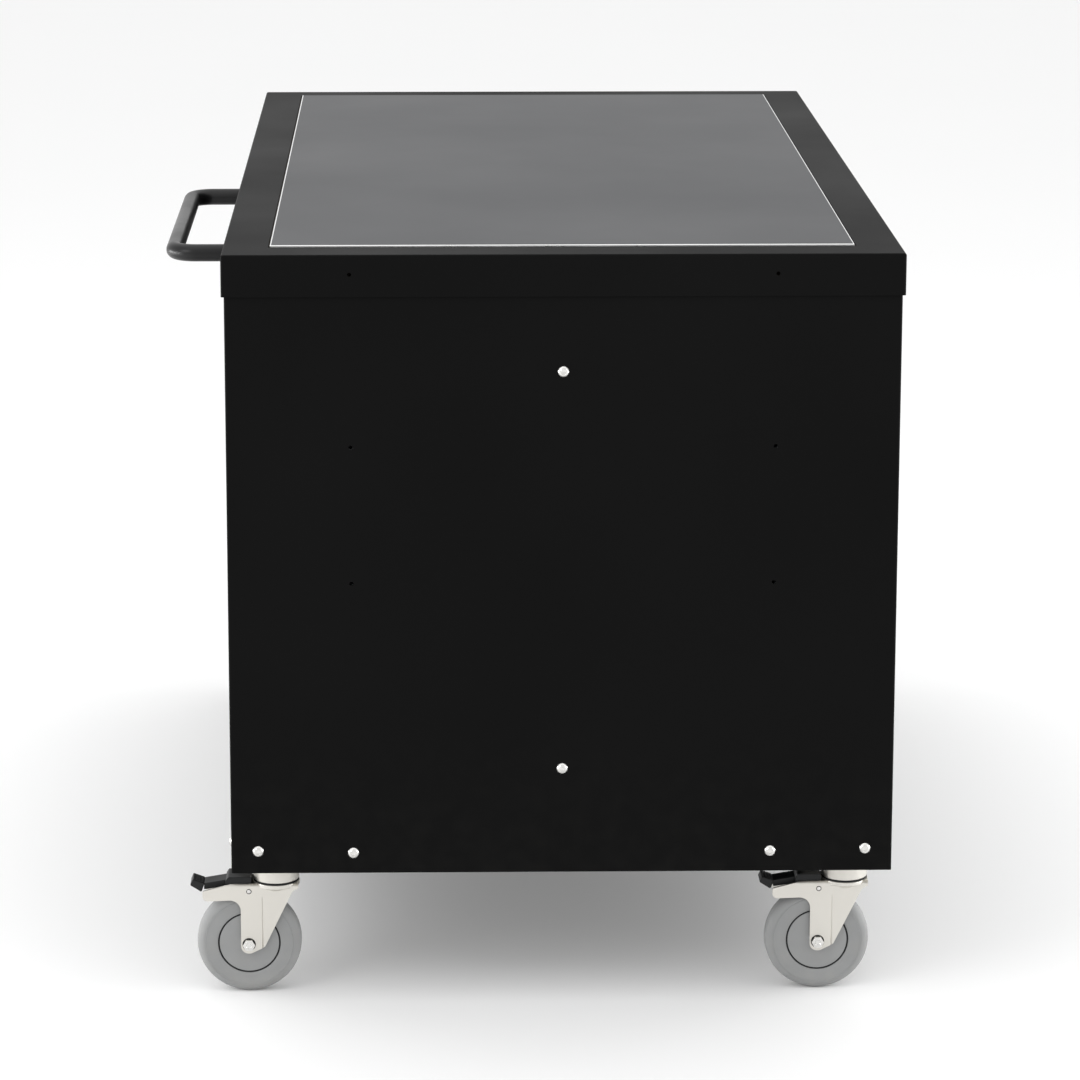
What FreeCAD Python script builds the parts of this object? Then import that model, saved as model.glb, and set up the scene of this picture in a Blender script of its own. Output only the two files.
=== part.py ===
"""Rolling tool chest: folded-sheet cabinet, drawers on telescopic slides, four total-lock casters.

Millimetres, +Z up. X runs along the long side (left end is -X), the drawers open towards -Y and
the push handle is on +Y. The floor is Z = 0 and the origin is under the middle of the whole chest.
"""
import FreeCAD, Part
import os

import Sketcher

os.makedirs("parts", exist_ok=True)
doc = FreeCAD.newDocument("tool_chest")

# ---------------------------------------------------------------- sizes that are set by themselves
SIZES = {
    # cap, board and inset plate
    "cap_length": 1420, "cap_depth": 790, "cap_skirt": 49, "cap_sheet": 1.5, "cap_bend": 3,
    "cap_gap": 1.75, "work_height": 905, "board_thick": 24, "board_gap": 1, "inset_border": 53,
    "inset_gap": 2, "inset_rise": 2.3, "inset_sheet": 1.5, "inset_bend": 1.2,
    # cabinet body
    "panel_sheet": 1.5, "panel_drop": 5, "panel_bend": 3, "front_flange": 30, "rear_flange": 55,
    "pan_sheet": 2.5, "pan_edge": 31.5, "fit_gap": 0.3, "rack_wide": 40,
    "rack_wall": 2, "upright_reach": 247, "partition_wide": 40, "partition_sheet": 1.5,
    "header_tall": 22, "header_sheet": 1.5,
    # drawers
    "front_thick": 20, "front_gap": 3, "front_sheet": 1.2, "top_row": 110, "tray_sheet": 1.2,
    "tray_lift": 10, "tray_drop": 15, "slide_rise": 45, "slide_length": 700, "slide_tall": 45,
    "slide_thick": 12.7, "slide_sheet": 1.2, "slide_gap": 0.6, "slide_start": 4,
    "pull_deep": 24, "pull_tall": 30, "pull_lip": 12, "pull_sheet": 2, "pull_drop": 12,
    "pull_wide": 300, "top_pull_wide": 600,
    # lock
    "barrel_radius": 9.5, "lock_inset": 34, "lock_drop": 21, "cam_length": 30, "cam_wide": 12,
    "cam_thick": 3, "run_gap": 0.05,
    # push handle
    "handle_tube": 22, "handle_wall": 2, "handle_wide": 451, "handle_reach": 86.5,
    "handle_bend": 28, "handle_drop": 80.5, "handle_plug": 18,
    # screws
    "screw_head": 14, "screw_rise": 4.4, "screw_shank": 8, "screw_length": 16, "screw_play": 0.2,
    "screw_socket": 5, "socket_deep": 2.6, "side_screw_in": 32, "side_screw_up": 27,
    "rear_screw_in": 40,
    "line_screw_up": 24.6, "post_screw_drop": 138, "post_screw_low": 616, "open_hole": 4.8,
    "skirt_hole_drop": 23, "open_hole_high": 227, "open_hole_low": 390, "hole_deep": 12,
    # casters
    "caster_inset": 51, "wheel_room": 10, "mount_side": 92, "mount_thick": 4, "cup_size": 55,
    "cup_tall": 22.5, "seal_gap": 2, "kingpin_size": 12, "kingpin_head": 18,
    "kingpin_head_tall": 3.2, "bolt_reach": 35, "bolt_size": 10, "bolt_flat": 17,
    "bolt_head_tall": 6.4, "bolt_play": 0.3, "wheel_size": 125,
    "wheel_width": 32, "wheel_trail": 32.5, "tread_round": 11, "hub_size": 74.8,
    "hub_groove": 1.6, "hub_deep": 5, "hub_cone": 1.2, "hub_boss": 22, "axle_size": 8,
    "axle_flat": 13, "axle_head_tall": 5.3,
    # fork and pedal
    "fork_sheet": 3, "fork_gap": 2.5, "fork_back": 27, "fork_neck": 20.5, "fork_neck_drop": 8.5,
    "fork_heel": 18.9, "fork_heel_up": 8, "fork_tip": 11.5, "fork_leg": 9.5, "fork_arch": 13,
    "fork_arm": 87.5, "arm_drop": 9, "arm_end_tall": 12.6, "arm_root_tall": 19.8,
    "crown_reach": 24, "pivot_out": 32, "pivot_drop": 9.2, "pedal_pin": 5, "pin_wall": 0.6,
    "pedal_half": 17.5, "pedal_reach": 103, "pedal_rise": 9, "pedal_gap": 1.5, "block_out": 60,
    "block_low": 0.4, "block_step": 3, "lever_thick": 7.5, "lever_fall": 4, "pad_rise": 5.4,
    "pad_thick": 9.4, "pad_slant": 3, "shoe_out": 50.5, "shoe_gap": 2.3, "shoe_half": 3.5,
}

# ---------------------------------------------------------------- sizes worked out from those
WORKED = {
    "crown_low": "sizes.wheel_size + sizes.wheel_room",
    "crown_top": "crown_low + sizes.fork_sheet",
    "cup_bottom": "crown_top + sizes.seal_gap",
    "pivot_z": "crown_top - sizes.pivot_drop",
    "ride_height": "cup_bottom + sizes.cup_tall + sizes.mount_thick",
    "cap_x": "sizes.cap_length / 2",
    "cap_y": "sizes.cap_depth / 2",
    "body_x": "sizes.cap_length / 2 - sizes.cap_sheet - sizes.cap_gap",
    "body_y": "sizes.cap_depth / 2 - sizes.cap_sheet - sizes.cap_gap",
    "body_top": "sizes.work_height - sizes.cap_sheet - sizes.board_thick",
    "body_low": "ride_height - sizes.panel_drop",
    "hole_x": "sizes.cap_length / 2 - sizes.inset_border",
    "hole_y": "sizes.cap_depth / 2 - sizes.inset_border",
    "web_in": "sizes.cap_length / 2 - sizes.cap_sheet - sizes.cap_gap - sizes.panel_sheet",
    "rear_in": "sizes.cap_depth / 2 - sizes.cap_sheet - sizes.cap_gap - 2 * sizes.panel_sheet",
    "front_in": "sizes.cap_depth / 2 - sizes.cap_sheet - sizes.cap_gap - sizes.panel_sheet",
    "rack_in": "sizes.cap_length / 2 - sizes.cap_sheet - sizes.cap_gap - sizes.front_flange",
    "floor_top": "ride_height + sizes.pan_sheet",
    "front_x": "sizes.cap_length / 2 - sizes.cap_sheet - sizes.cap_gap - sizes.front_flange"
               " - sizes.front_gap",
    "fronts_low": "ride_height + sizes.pan_edge + sizes.front_gap",
    "fronts_top": "sizes.work_height - sizes.cap_skirt - sizes.front_gap",
    "tray_front": "-(sizes.cap_depth / 2 - sizes.cap_sheet - sizes.cap_gap) + sizes.front_thick",
    "handle_up": "sizes.work_height - sizes.handle_drop",
    "handle_y": "sizes.cap_depth / 2 - sizes.cap_sheet - sizes.cap_gap + sizes.handle_reach",
    "mid_y": "(sizes.pull_deep - sizes.handle_reach - sizes.handle_tube / 2) / 2",
    "lock_x": "sizes.cap_length / 2 - sizes.cap_sheet - sizes.cap_gap - sizes.front_flange"
              " - sizes.front_gap - sizes.lock_inset",
    "lock_z": "sizes.work_height - sizes.cap_skirt - sizes.front_gap - sizes.lock_drop",
    "caster_x": "sizes.cap_length / 2 - sizes.cap_sheet - sizes.cap_gap - sizes.caster_inset",
    "caster_y": "sizes.cap_depth / 2 - sizes.cap_sheet - sizes.cap_gap - sizes.caster_inset",
    "axle_z": "sizes.wheel_size / 2",
    "fork_in": "sizes.wheel_width / 2 + sizes.fork_gap",
    "fork_out": "sizes.wheel_width / 2 + sizes.fork_gap + sizes.fork_sheet",
}
# Fronts of the lower rows share the height that the top row leaves, with a gap between rows.
WORKED["low_row"] = "(fronts_top - fronts_low - sizes.top_row - 2 * sizes.front_gap) / 2"
WORKED["row_two"] = "fronts_low + low_row + sizes.front_gap"
WORKED["row_three"] = "fronts_low + 2 * (low_row + sizes.front_gap)"
WORKED["tray_back"] = "tray_front + sizes.slide_start + sizes.slide_length"


def make_sheet(name, cells, formula=False):
    """A spreadsheet with one aliased cell for each size."""
    sheet = doc.addObject("Spreadsheet::Sheet", name)
    for row, (alias, value) in enumerate(cells.items(), 1):
        sheet.set(f"A{row}", alias)
        sheet.set(f"B{row}", f"={value}" if formula else str(value))
        sheet.setAlias(f"B{row}", alias)
    return sheet


make_sheet("sizes", SIZES)
make_sheet("worked", WORKED, formula=True)
doc.recompute()

TURNS = {
    "x": FreeCAD.Rotation(FreeCAD.Vector(0, 1, 0), 90),
    "y": FreeCAD.Rotation(FreeCAD.Vector(1, 0, 0), -90),
    "z": FreeCAD.Rotation(),
}
NODES = []


# ---------------------------------------------------------------- helpers
def tie(thing, **formulas):
    """Bind properties to formulas; a double underscore stands for a dot in the property's path."""
    for path, formula in formulas.items():
        thing.setExpression(path.replace("__", "."), str(formula))
    return thing


def place(thing, x="0", y="0", z="0"):
    """Tie where a sub-part stands."""
    return tie(thing, Placement__Base__x=x, Placement__Base__y=y, Placement__Base__z=z)


def new_body(label, x="0", y="worked.mid_y", z="0"):
    """One sub-part as a PartDesign body, listed as a node."""
    body = doc.addObject("PartDesign::Body", label)
    body.Label = label
    place(body, x, y, z)
    NODES.append(body)
    return body


def brick(body, name, x, y, z, cut=False):
    """A box between two bounds on each axis, added to its body or cut from it."""
    kind = "PartDesign::SubtractiveBox" if cut else "PartDesign::AdditiveBox"
    piece = body.newObject(kind, name)
    spans = [f"({high}) - ({low})" for low, high in (x, y, z)]
    tie(piece, Length=spans[0], Width=spans[1], Height=spans[2])
    return place(piece, x[0], y[0], z[0])


def rod(body, name, axis, centre, span, radius, cut=False):
    """A cylinder along one axis between two bounds; centre gives the other two axes in order."""
    kind = "PartDesign::SubtractiveCylinder" if cut else "PartDesign::AdditiveCylinder"
    piece = body.newObject(kind, name)
    piece.Placement = FreeCAD.Placement(FreeCAD.Vector(), TURNS[axis])
    tie(piece, Radius=radius, Height=f"({span[1]}) - ({span[0]})")
    spots = list(centre)
    spots.insert("xyz".index(axis), span[0])
    return place(piece, *spots)


def hex_bar(body, name, axis, centre, span, flat):
    """A six-sided bar along one axis, by its width across flats."""
    piece = body.newObject("PartDesign::AdditivePrism", name)
    piece.Placement = FreeCAD.Placement(FreeCAD.Vector(), TURNS[axis])
    tie(piece, Circumradius=f"({flat}) / 2 / cos(30)", Height=f"({span[1]}) - ({span[0]})")
    spots = list(centre)
    spots.insert("xyz".index(axis), span[0])
    return place(piece, *spots)


def outline(body, name, role, offset, corners):
    """A closed outline of straight lines on one of the body's planes, each corner tied twice."""
    sketch = body.newObject("Sketcher::SketchObject", name)
    plane = next(item for item in body.Origin.OriginFeatures if item.Role == role)
    sketch.AttachmentSupport = (plane, [""])
    sketch.MapMode = "FlatFace"
    tie(sketch, AttachmentOffset__Base__z=offset)
    spots = [FreeCAD.Vector(*(body.evalExpression(word) for word in pair), 0) for pair in corners]
    count = len(spots)
    for index, spot in enumerate(spots):
        sketch.addGeometry(Part.LineSegment(spot, spots[(index + 1) % count]))
    for index in range(count):
        sketch.addConstraint(Sketcher.Constraint("Coincident", index, 2, (index + 1) % count, 1))
    for index, (across, along) in enumerate(corners):
        for kind, word in (("DistanceX", across), ("DistanceY", along)):
            value = body.evalExpression(word)
            number = sketch.addConstraint(Sketcher.Constraint(kind, -1, 1, index, 1, value))
            sketch.setExpression(f"Constraints[{number}]", word)
    return sketch


def pad(body, name, sketch, length):
    """Raise an outline to a length along its plane's normal."""
    piece = body.newObject("PartDesign::Pad", name)
    piece.Profile = (sketch, [""])
    tie(piece, Length=length)
    return piece


def revolve(body, name, sketch):
    """Turn an outline once round its own horizontal axis."""
    piece = body.newObject("PartDesign::Revolution", name)
    piece.Profile = (sketch, [""])
    piece.ReferenceAxis = (sketch, ["H_Axis"])
    piece.Angle = 360
    return piece


def fillet(body, name, radius, wanted):
    """Round the edges of the body's tip that a test picks."""
    doc.recompute()
    tip = body.Tip
    picked = [f"Edge{number}" for number, edge in enumerate(tip.Shape.Edges, 1) if wanted(edge)]
    if not picked:
        raise RuntimeError(f"{body.Label}.{name}: no edge to round")
    piece = body.newObject("PartDesign::Fillet", name)
    piece.Base = (tip, picked)
    tie(piece, Radius=radius)
    return piece


def runs_along(edge, axis):
    """Whether a straight edge runs along an axis."""
    if len(edge.Vertexes) != 2 or edge.Curve.TypeId != "Part::GeomLine":
        return False
    way = edge.Vertexes[1].Point - edge.Vertexes[0].Point
    return abs(getattr(way, axis)) > 0.999 * way.Length


def edge_at(axis, **spots):
    """A test for straight edges along an axis whose middle has the given coordinates."""
    def wanted(edge):
        middle = edge.CenterOfMass
        near = all(abs(abs(getattr(middle, key)) - abs(spot)) < 0.01 for key, spot in spots.items())
        return near and runs_along(edge, axis)
    return wanted


def any_of(*tests):
    """A test that passes where one of several does."""
    return lambda edge: any(test(edge) for test in tests)


def value_of(formula):
    """The number a formula has now."""
    return doc.getObject("worked").evalExpression(formula)


def mirrored(side, low, high):
    """A pair of bounds as written for side +1, or its mirror image for side -1."""
    return (low, high) if side > 0 else (f"-({high})", f"-({low})")


def both(reach):
    """Bounds from minus to plus a reach."""
    return f"-({reach})", reach


# ---------------------------------------------------------------- top
def make_top_cap():
    """Folded cap with a skirt all round, open in the middle for the inset plate."""
    body = new_body("top_cap")
    low = "sizes.work_height - sizes.cap_skirt"
    under = "sizes.work_height - sizes.cap_sheet"
    brick(body, "cap_blank", both("worked.cap_x"), both("worked.cap_y"), (low, "sizes.work_height"))
    top = value_of("sizes.work_height")
    cap_x = value_of("worked.cap_x")
    cap_y = value_of("worked.cap_y")
    fillet(body, "cap_outer_bend", "sizes.cap_bend", any_of(
        edge_at("z", x=cap_x, y=cap_y), edge_at("x", y=cap_y, z=top), edge_at("y", x=cap_x, z=top)))
    brick(body, "cap_hollow", both("worked.cap_x - sizes.cap_sheet"),
          both("worked.cap_y - sizes.cap_sheet"), (low, under), cut=True)
    brick(body, "cap_window", both("worked.hole_x"), both("worked.hole_y"),
          (low, "sizes.work_height"), cut=True)
    for turn, side in (("near", "-"), ("far", "")):
        for row in ("-", ""):
            rod(body, f"skirt_hole_{turn}{len(row)}", "x",
                (f"{row}sizes.upright_reach", "sizes.work_height - sizes.skirt_hole_drop"),
                (f"{side}worked.cap_x - 2 * sizes.cap_sheet",
                 f"{side}worked.cap_x + 2 * sizes.cap_sheet"), "sizes.open_hole / 2", cut=True)


def make_top_core():
    """Board that fills the cap, with a raised field for the inset plate."""
    body = new_body("top_core")
    reach_x = "worked.cap_x - sizes.cap_sheet - sizes.board_gap"
    reach_y = "worked.cap_y - sizes.cap_sheet - sizes.board_gap"
    under = "sizes.work_height - sizes.cap_sheet"
    brick(body, "board", both(reach_x), both(reach_y), ("worked.body_top", under))
    brick(body, "field", both("worked.hole_x - sizes.inset_gap - sizes.inset_sheet"),
          both("worked.hole_y - sizes.inset_gap - sizes.inset_sheet"),
          (under, "sizes.work_height + sizes.inset_rise - sizes.inset_sheet"))
    for turn, side in ((-1, "-"), (1, "")):
        for row in ("-", ""):
            edge = mirrored(turn, f"{reach_x} - sizes.hole_deep", f"{reach_x} + 1")
            rod(body, f"board_hole_{len(side)}{len(row)}", "x",
                (f"{row}sizes.upright_reach", "sizes.work_height - sizes.skirt_hole_drop"), edge,
                "sizes.open_hole / 2", cut=True)


def make_top_plate():
    """Satin plate in the cap's window, with its edges turned down."""
    body = new_body("top_plate")
    reach_x = "worked.hole_x - sizes.inset_gap"
    reach_y = "worked.hole_y - sizes.inset_gap"
    low = "sizes.work_height - sizes.cap_sheet"
    top = "sizes.work_height + sizes.inset_rise"
    brick(body, "plate_blank", both(reach_x), both(reach_y), (low, top))
    side_x = value_of(reach_x)
    side_y = value_of(reach_y)
    level = value_of(top)
    fillet(body, "plate_bend", "sizes.inset_bend", any_of(
        edge_at("z", x=side_x, y=side_y), edge_at("x", y=side_y, z=level),
        edge_at("y", x=side_x, z=level)))
    brick(body, "plate_hollow", both(f"{reach_x} - sizes.inset_sheet"),
          both(f"{reach_y} - sizes.inset_sheet"), (low, f"{top} - sizes.inset_sheet"), cut=True)


# ---------------------------------------------------------------- cabinet
def end_holes(side):
    """Screw places and open holes of one end, as pairs of (Y, Z) formulas."""
    line = "sizes.upright_reach"
    edge = "worked.body_y - sizes.side_screw_in"
    screws = [("0", "sizes.work_height - sizes.post_screw_drop"),
              ("0", "sizes.work_height - sizes.post_screw_low")]
    for row in ("-", ""):
        screws.append((f"{row}({edge})", "worked.body_low + sizes.side_screw_up"))
        screws.append((f"{row}{line}", "worked.body_low + sizes.line_screw_up"))
    opens = [(f"{row}{line}", f"sizes.work_height - sizes.{drop}")
             for row in ("-", "") for drop in ("open_hole_high", "open_hole_low")]
    return screws, opens


def make_end_panel(label, side):
    """End panel: a web with a front and a rear flange turned in."""
    body = new_body(label)
    height = ("worked.body_low", "worked.body_top")
    web = mirrored(side, "worked.web_in", "worked.body_x")
    brick(body, "web", web, both("worked.body_y"), height)
    brick(body, "front_stile", mirrored(side, "worked.rack_in", "worked.body_x"),
          ("-worked.body_y", "-worked.front_in"), height)
    brick(body, "rear_stile", mirrored(side, "worked.body_x - sizes.rear_flange", "worked.body_x"),
          ("worked.front_in", "worked.body_y"), height)
    fillet(body, "outer_bend", "sizes.panel_bend",
           edge_at("z", x=value_of("worked.body_x"), y=value_of("worked.body_y")))
    fillet(body, "inner_bend", "sizes.panel_bend - sizes.panel_sheet",
           edge_at("z", x=value_of("worked.web_in"), y=value_of("worked.front_in")))
    screws, opens = end_holes(side)
    through = mirrored(side, "worked.web_in - 1", "worked.body_x + 1")
    for number, spot in enumerate(screws):
        rod(body, f"screw_hole_{number}", "x", spot, through,
            "sizes.screw_shank / 2 + sizes.screw_play", cut=True)
    for number, spot in enumerate(opens):
        rod(body, f"open_hole_{number}", "x", spot, through, "sizes.open_hole / 2", cut=True)
    rod(body, "corner_hole", "y",
        (mirrored(side, "worked.body_x - sizes.rear_screw_in", "0")[side < 0],
         "worked.body_low + sizes.side_screw_up"), ("worked.front_in - 1", "worked.body_y + 1"),
        "sizes.screw_shank / 2 + sizes.screw_play", cut=True)


def make_rear_panel():
    """Rear panel, behind the end panels' flanges."""
    body = new_body("rear_panel")
    brick(body, "sheet", both("worked.web_in - sizes.fit_gap - sizes.panel_bend"),
          ("worked.rear_in", "worked.front_in"), ("worked.floor_top", "worked.body_top"))
    for turn in ("-", ""):
        rod(body, f"corner_hole_{len(turn)}", "y",
            (f"{turn}(worked.body_x - sizes.rear_screw_in)",
             "worked.body_low + sizes.side_screw_up"),
            ("worked.rear_in - 1", "worked.front_in + 1"),
            "sizes.screw_shank / 2 + sizes.screw_play", cut=True)
        rod(body, f"handle_hole_{len(turn)}", "y",
            (f"{turn}sizes.handle_wide / 2", "worked.handle_up"),
            ("worked.rear_in - 1", "worked.front_in + 1"),
            "sizes.screw_shank / 2 + sizes.screw_play", cut=True)


def make_base_pan():
    """Base pan: a floor with a front and a rear edge turned up, on the four caster plates."""
    body = new_body("base_pan")
    reach = "worked.web_in - sizes.fit_gap"
    top = "worked.ride_height + sizes.pan_edge"
    brick(body, "floor", both(reach), ("-worked.front_in", "worked.rear_in"),
          ("worked.ride_height", "worked.floor_top"))
    fillet(body, "floor_corner", "sizes.panel_bend",
           edge_at("z", x=value_of(reach), y=value_of("worked.front_in")))
    edge_reach = f"{reach} - sizes.panel_bend"
    brick(body, "front_edge", both(edge_reach),
          ("-worked.front_in", "-worked.front_in + sizes.pan_sheet"), ("worked.ride_height", top))
    brick(body, "rear_edge", both(edge_reach),
          ("worked.rear_in - sizes.pan_sheet", "worked.rear_in"), ("worked.ride_height", top))
    for turn in ("-", ""):
        rod(body, f"corner_hole_{len(turn)}", "y",
            (f"{turn}(worked.body_x - sizes.rear_screw_in)",
             "worked.body_low + sizes.side_screw_up"),
            ("worked.rear_in - 2 * sizes.pan_sheet", "worked.rear_in + 1"),
            "sizes.screw_shank / 2 + sizes.screw_play", cut=True)
    for number, (spot_x, spot_y, _) in enumerate(bolt_spots()):
        rod(body, f"bolt_hole_{number}", "z", (spot_x, spot_y),
            ("worked.ride_height - 1", "worked.floor_top + 1"),
            "sizes.bolt_size / 2 + sizes.bolt_play", cut=True)


def make_rack(label, side):
    """Welded rack of square tube: two slide uprights and a post between two long rails."""
    body = new_body(label)
    deep = mirrored(side, "worked.rack_in", "worked.web_in")
    hollow = mirrored(side, "worked.rack_in + sizes.rack_wall", "worked.web_in - sizes.rack_wall")
    rail = ("-worked.front_in + sizes.pan_sheet + sizes.fit_gap",
            "worked.rear_in - sizes.pan_sheet - sizes.fit_gap")
    open_rail = (f"{rail[0]} - 1", f"{rail[1]} + 1")
    low = ("worked.floor_top", "worked.floor_top + sizes.rack_wide")
    high = ("worked.body_top - sizes.rack_wide", "worked.body_top")
    brick(body, "low_rail", deep, rail, low)
    posts = (("rear_upright", "sizes.upright_reach"), ("front_upright", "-sizes.upright_reach"),
             ("post", "0"))
    for name, spot in posts:
        across = (f"{spot} - sizes.rack_wide / 2", f"{spot} + sizes.rack_wide / 2")
        brick(body, name, deep, across, (low[0], high[1]))
    brick(body, "high_rail", deep, rail, high)
    for name, (bottom, top) in (("low_void", low), ("high_void", high)):
        brick(body, name, hollow, open_rail,
              (f"{bottom} + sizes.rack_wall", f"{top} - sizes.rack_wall"), cut=True)
    for name, spot in posts:
        across = (f"{spot} - sizes.rack_wide / 2 + sizes.rack_wall",
                  f"{spot} + sizes.rack_wide / 2 - sizes.rack_wall")
        brick(body, f"{name}_void", hollow, across,
              (f"{low[0]} + sizes.rack_wall", f"{high[1]} - sizes.rack_wall"), cut=True)
    screws, opens = end_holes(side)
    wall = mirrored(side, "worked.web_in - sizes.rack_wall - 1", "worked.web_in + 1")
    for number, spot in enumerate(screws):
        rod(body, f"screw_hole_{number}", "x", spot, wall,
            "sizes.screw_shank / 2 + sizes.screw_play", cut=True)
    for number, spot in enumerate(opens):
        rod(body, f"open_hole_{number}", "x", spot, wall, "sizes.open_hole / 2", cut=True)
    for row in ("-", ""):
        for shift in ("-", "+"):
            spot_x = mirrored(side, "worked.caster_x + sizes.bolt_reach", "0")[side < 0]
            rod(body, f"bolt_hole_{len(row)}{'-+'.index(shift)}", "z",
                (spot_x, f"{row}worked.caster_y {shift} sizes.bolt_reach"),
                ("worked.floor_top - 1", "worked.floor_top + sizes.rack_wall + 1"),
                "sizes.bolt_size / 2 + sizes.bolt_play", cut=True)


def make_partition():
    """Hollow partition between the two lower columns of drawers, open at the rear."""
    body = new_body("centre_partition")
    top = "worked.row_three - sizes.front_gap - sizes.fit_gap"
    reach = "sizes.partition_wide / 2"
    front = "worked.tray_front + sizes.fit_gap"
    rear = "worked.rear_in - sizes.pan_sheet - sizes.fit_gap"
    brick(body, "block", both(reach), (front, rear), ("worked.floor_top", top))
    brick(body, "void", both(f"{reach} - sizes.partition_sheet"),
          (f"{front} + sizes.partition_sheet", f"{rear} + 1"),
          ("worked.floor_top + sizes.partition_sheet", f"{top} - sizes.partition_sheet"), cut=True)


def make_header():
    """Box-section header between the racks, over the drawers, that the lock's cam catches."""
    body = new_body("front_header")
    deep = ("-worked.front_in", "worked.tray_front - sizes.fit_gap")
    tall = ("worked.body_top - sizes.header_tall", "worked.body_top")
    reach = "worked.rack_in"
    brick(body, "bar", both(reach), deep, tall)
    brick(body, "void", both(f"{reach} + 1"),
          (f"{deep[0]} + sizes.header_sheet", f"{deep[1]} - sizes.header_sheet"),
          (f"{tall[0]} + sizes.header_sheet", f"{tall[1]} - sizes.header_sheet"), cut=True)


def make_handle():
    """U-shaped push handle of round tube on the rear panel, with plugged ends."""
    body = new_body("push_handle")
    half = "sizes.handle_wide / 2"
    seat = "worked.front_in"
    far = "worked.handle_y"
    bend = "sizes.handle_bend"
    radius = "sizes.handle_tube / 2"
    level = "worked.handle_up"
    bore = f"{radius} - sizes.handle_wall"

    def run(suffix, size, cut):
        """The whole length of the tube at one radius, added or cut."""
        for turn in ("-", ""):
            rod(body, f"leg_{suffix}_{len(turn)}", "y", (f"{turn}{half}", level),
                (seat, f"{far} - {bend}"), size, cut=cut)
            kind = "PartDesign::SubtractiveTorus" if cut else "PartDesign::AdditiveTorus"
            corner = body.newObject(kind, f"corner_{suffix}_{len(turn)}")
            start = 90 if turn else 0
            corner.Placement = FreeCAD.Placement(
                FreeCAD.Vector(), FreeCAD.Rotation(FreeCAD.Vector(0, 0, 1), start))
            corner.Angle3 = 90
            tie(corner, Radius1=bend, Radius2=size)
            place(corner, f"{turn}({half} - {bend})", f"{far} - {bend}", level)
            if turn:
                rod(body, f"bar_{suffix}", "x", (far, level), both(f"{half} - {bend}"), size,
                    cut=cut)

    run("tube", radius, False)
    run("bore", bore, True)
    for turn in ("-", ""):
        rod(body, f"plug_{len(turn)}", "y", (f"{turn}{half}", level),
            (seat, f"{seat} + sizes.handle_plug"), bore)
        rod(body, f"thread_{len(turn)}", "y", (f"{turn}{half}", level),
            (f"{seat} - 1", f"{seat} + sizes.handle_plug + 1"),
            "sizes.screw_shank / 2 + sizes.run_gap", cut=True)


# ---------------------------------------------------------------- fasteners
def hexagon(flat):
    """A flat six-sided face at Z = 0, by its width across flats."""
    corner = FreeCAD.Vector(flat / 2 / 0.8660254, 0, 0)
    turns = [FreeCAD.Rotation(FreeCAD.Vector(0, 0, 1), 60 * number) for number in range(7)]
    return Part.Face(Part.makePolygon([turn.multVec(corner) for turn in turns]))


def screw_shape():
    """Button-head socket screw along +Z: underside of the head at Z = 0, head above it."""
    head = value_of("sizes.screw_head") / 2
    rise = value_of("sizes.screw_rise")
    ball = (head ** 2 + rise ** 2) / (2 * rise)
    dome = Part.makeSphere(ball, FreeCAD.Vector(0, 0, rise - ball))
    dome = dome.common(Part.makeCylinder(head, rise))
    socket = hexagon(value_of("sizes.screw_socket")).extrude(FreeCAD.Vector(0, 0, rise))
    socket.translate(FreeCAD.Vector(0, 0, rise - value_of("sizes.socket_deep")))
    length = value_of("sizes.screw_length")
    shank = Part.makeCylinder(value_of("sizes.screw_shank") / 2, length)
    shank.translate(FreeCAD.Vector(0, 0, -length))
    return dome.cut(socket).fuse(shank).removeSplitter()


def bolt_shape():
    """Hexagon-head bolt along +Z: underside of the head at Z = 0, head above it."""
    tall = value_of("sizes.bolt_head_tall")
    flat = value_of("sizes.bolt_flat")
    head = hexagon(flat).extrude(FreeCAD.Vector(0, 0, tall))
    bevel = Part.makeCone(flat / 2 + tall, flat / 2, tall)
    length = value_of("sizes.mount_thick + sizes.pan_sheet + sizes.rack_wall")
    shank = Part.makeCylinder(value_of("sizes.bolt_size") / 2, length)
    shank.translate(FreeCAD.Vector(0, 0, -length))
    return head.common(bevel).fuse(shank).removeSplitter()


def spread(label, shape, spots):
    """One node of identical fasteners; each spot is (x, y, z, direction of the shape's +Z)."""
    copies = []
    for spot_x, spot_y, spot_z, way in spots:
        turn = FreeCAD.Rotation(FreeCAD.Vector(0, 0, 1), FreeCAD.Vector(*way))
        copy = shape.copy()
        where = FreeCAD.Vector(*(value_of(word) for word in (spot_x, spot_y, spot_z)))
        copy.Placement = FreeCAD.Placement(where, turn)
        copies.append(copy)
    node = doc.addObject("Part::Feature", label)
    node.Label = label
    node.Shape = Part.makeCompound(copies)
    place(node, y="worked.mid_y")
    NODES.append(node)


def bolt_spots():
    """Caster bolt places as (X, Y, Z) formulas: the outer ones stand on the racks' low rails."""
    seats = ("worked.floor_top", "worked.floor_top + sizes.rack_wall")
    return [(f"{turn}(worked.caster_x {'-+'[outer]} sizes.bolt_reach)",
             f"{row}worked.caster_y {across} sizes.bolt_reach", seats[outer])
            for turn in ("-", "") for row in ("-", "") for outer in (0, 1) for across in "-+"]


def make_fasteners():
    """All button-head screws in one node and all caster bolts in another."""
    spots = []
    for side in (-1, 1):
        face = "worked.body_x" if side > 0 else "-worked.body_x"
        spots += [(face, row, level, (side, 0, 0)) for row, level in end_holes(side)[0]]
    for turn in ("-", ""):
        spots.append((f"{turn}(worked.body_x - sizes.rear_screw_in)", "worked.body_y",
                      "worked.body_low + sizes.side_screw_up", (0, 1, 0)))
        spots.append((f"{turn}sizes.handle_wide / 2", "worked.rear_in", "worked.handle_up",
                      (0, -1, 0)))
    spread("button_screws", screw_shape(), spots)
    spread("caster_bolts", bolt_shape(), [(*spot, (0, 0, 1)) for spot in bolt_spots()])


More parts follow.
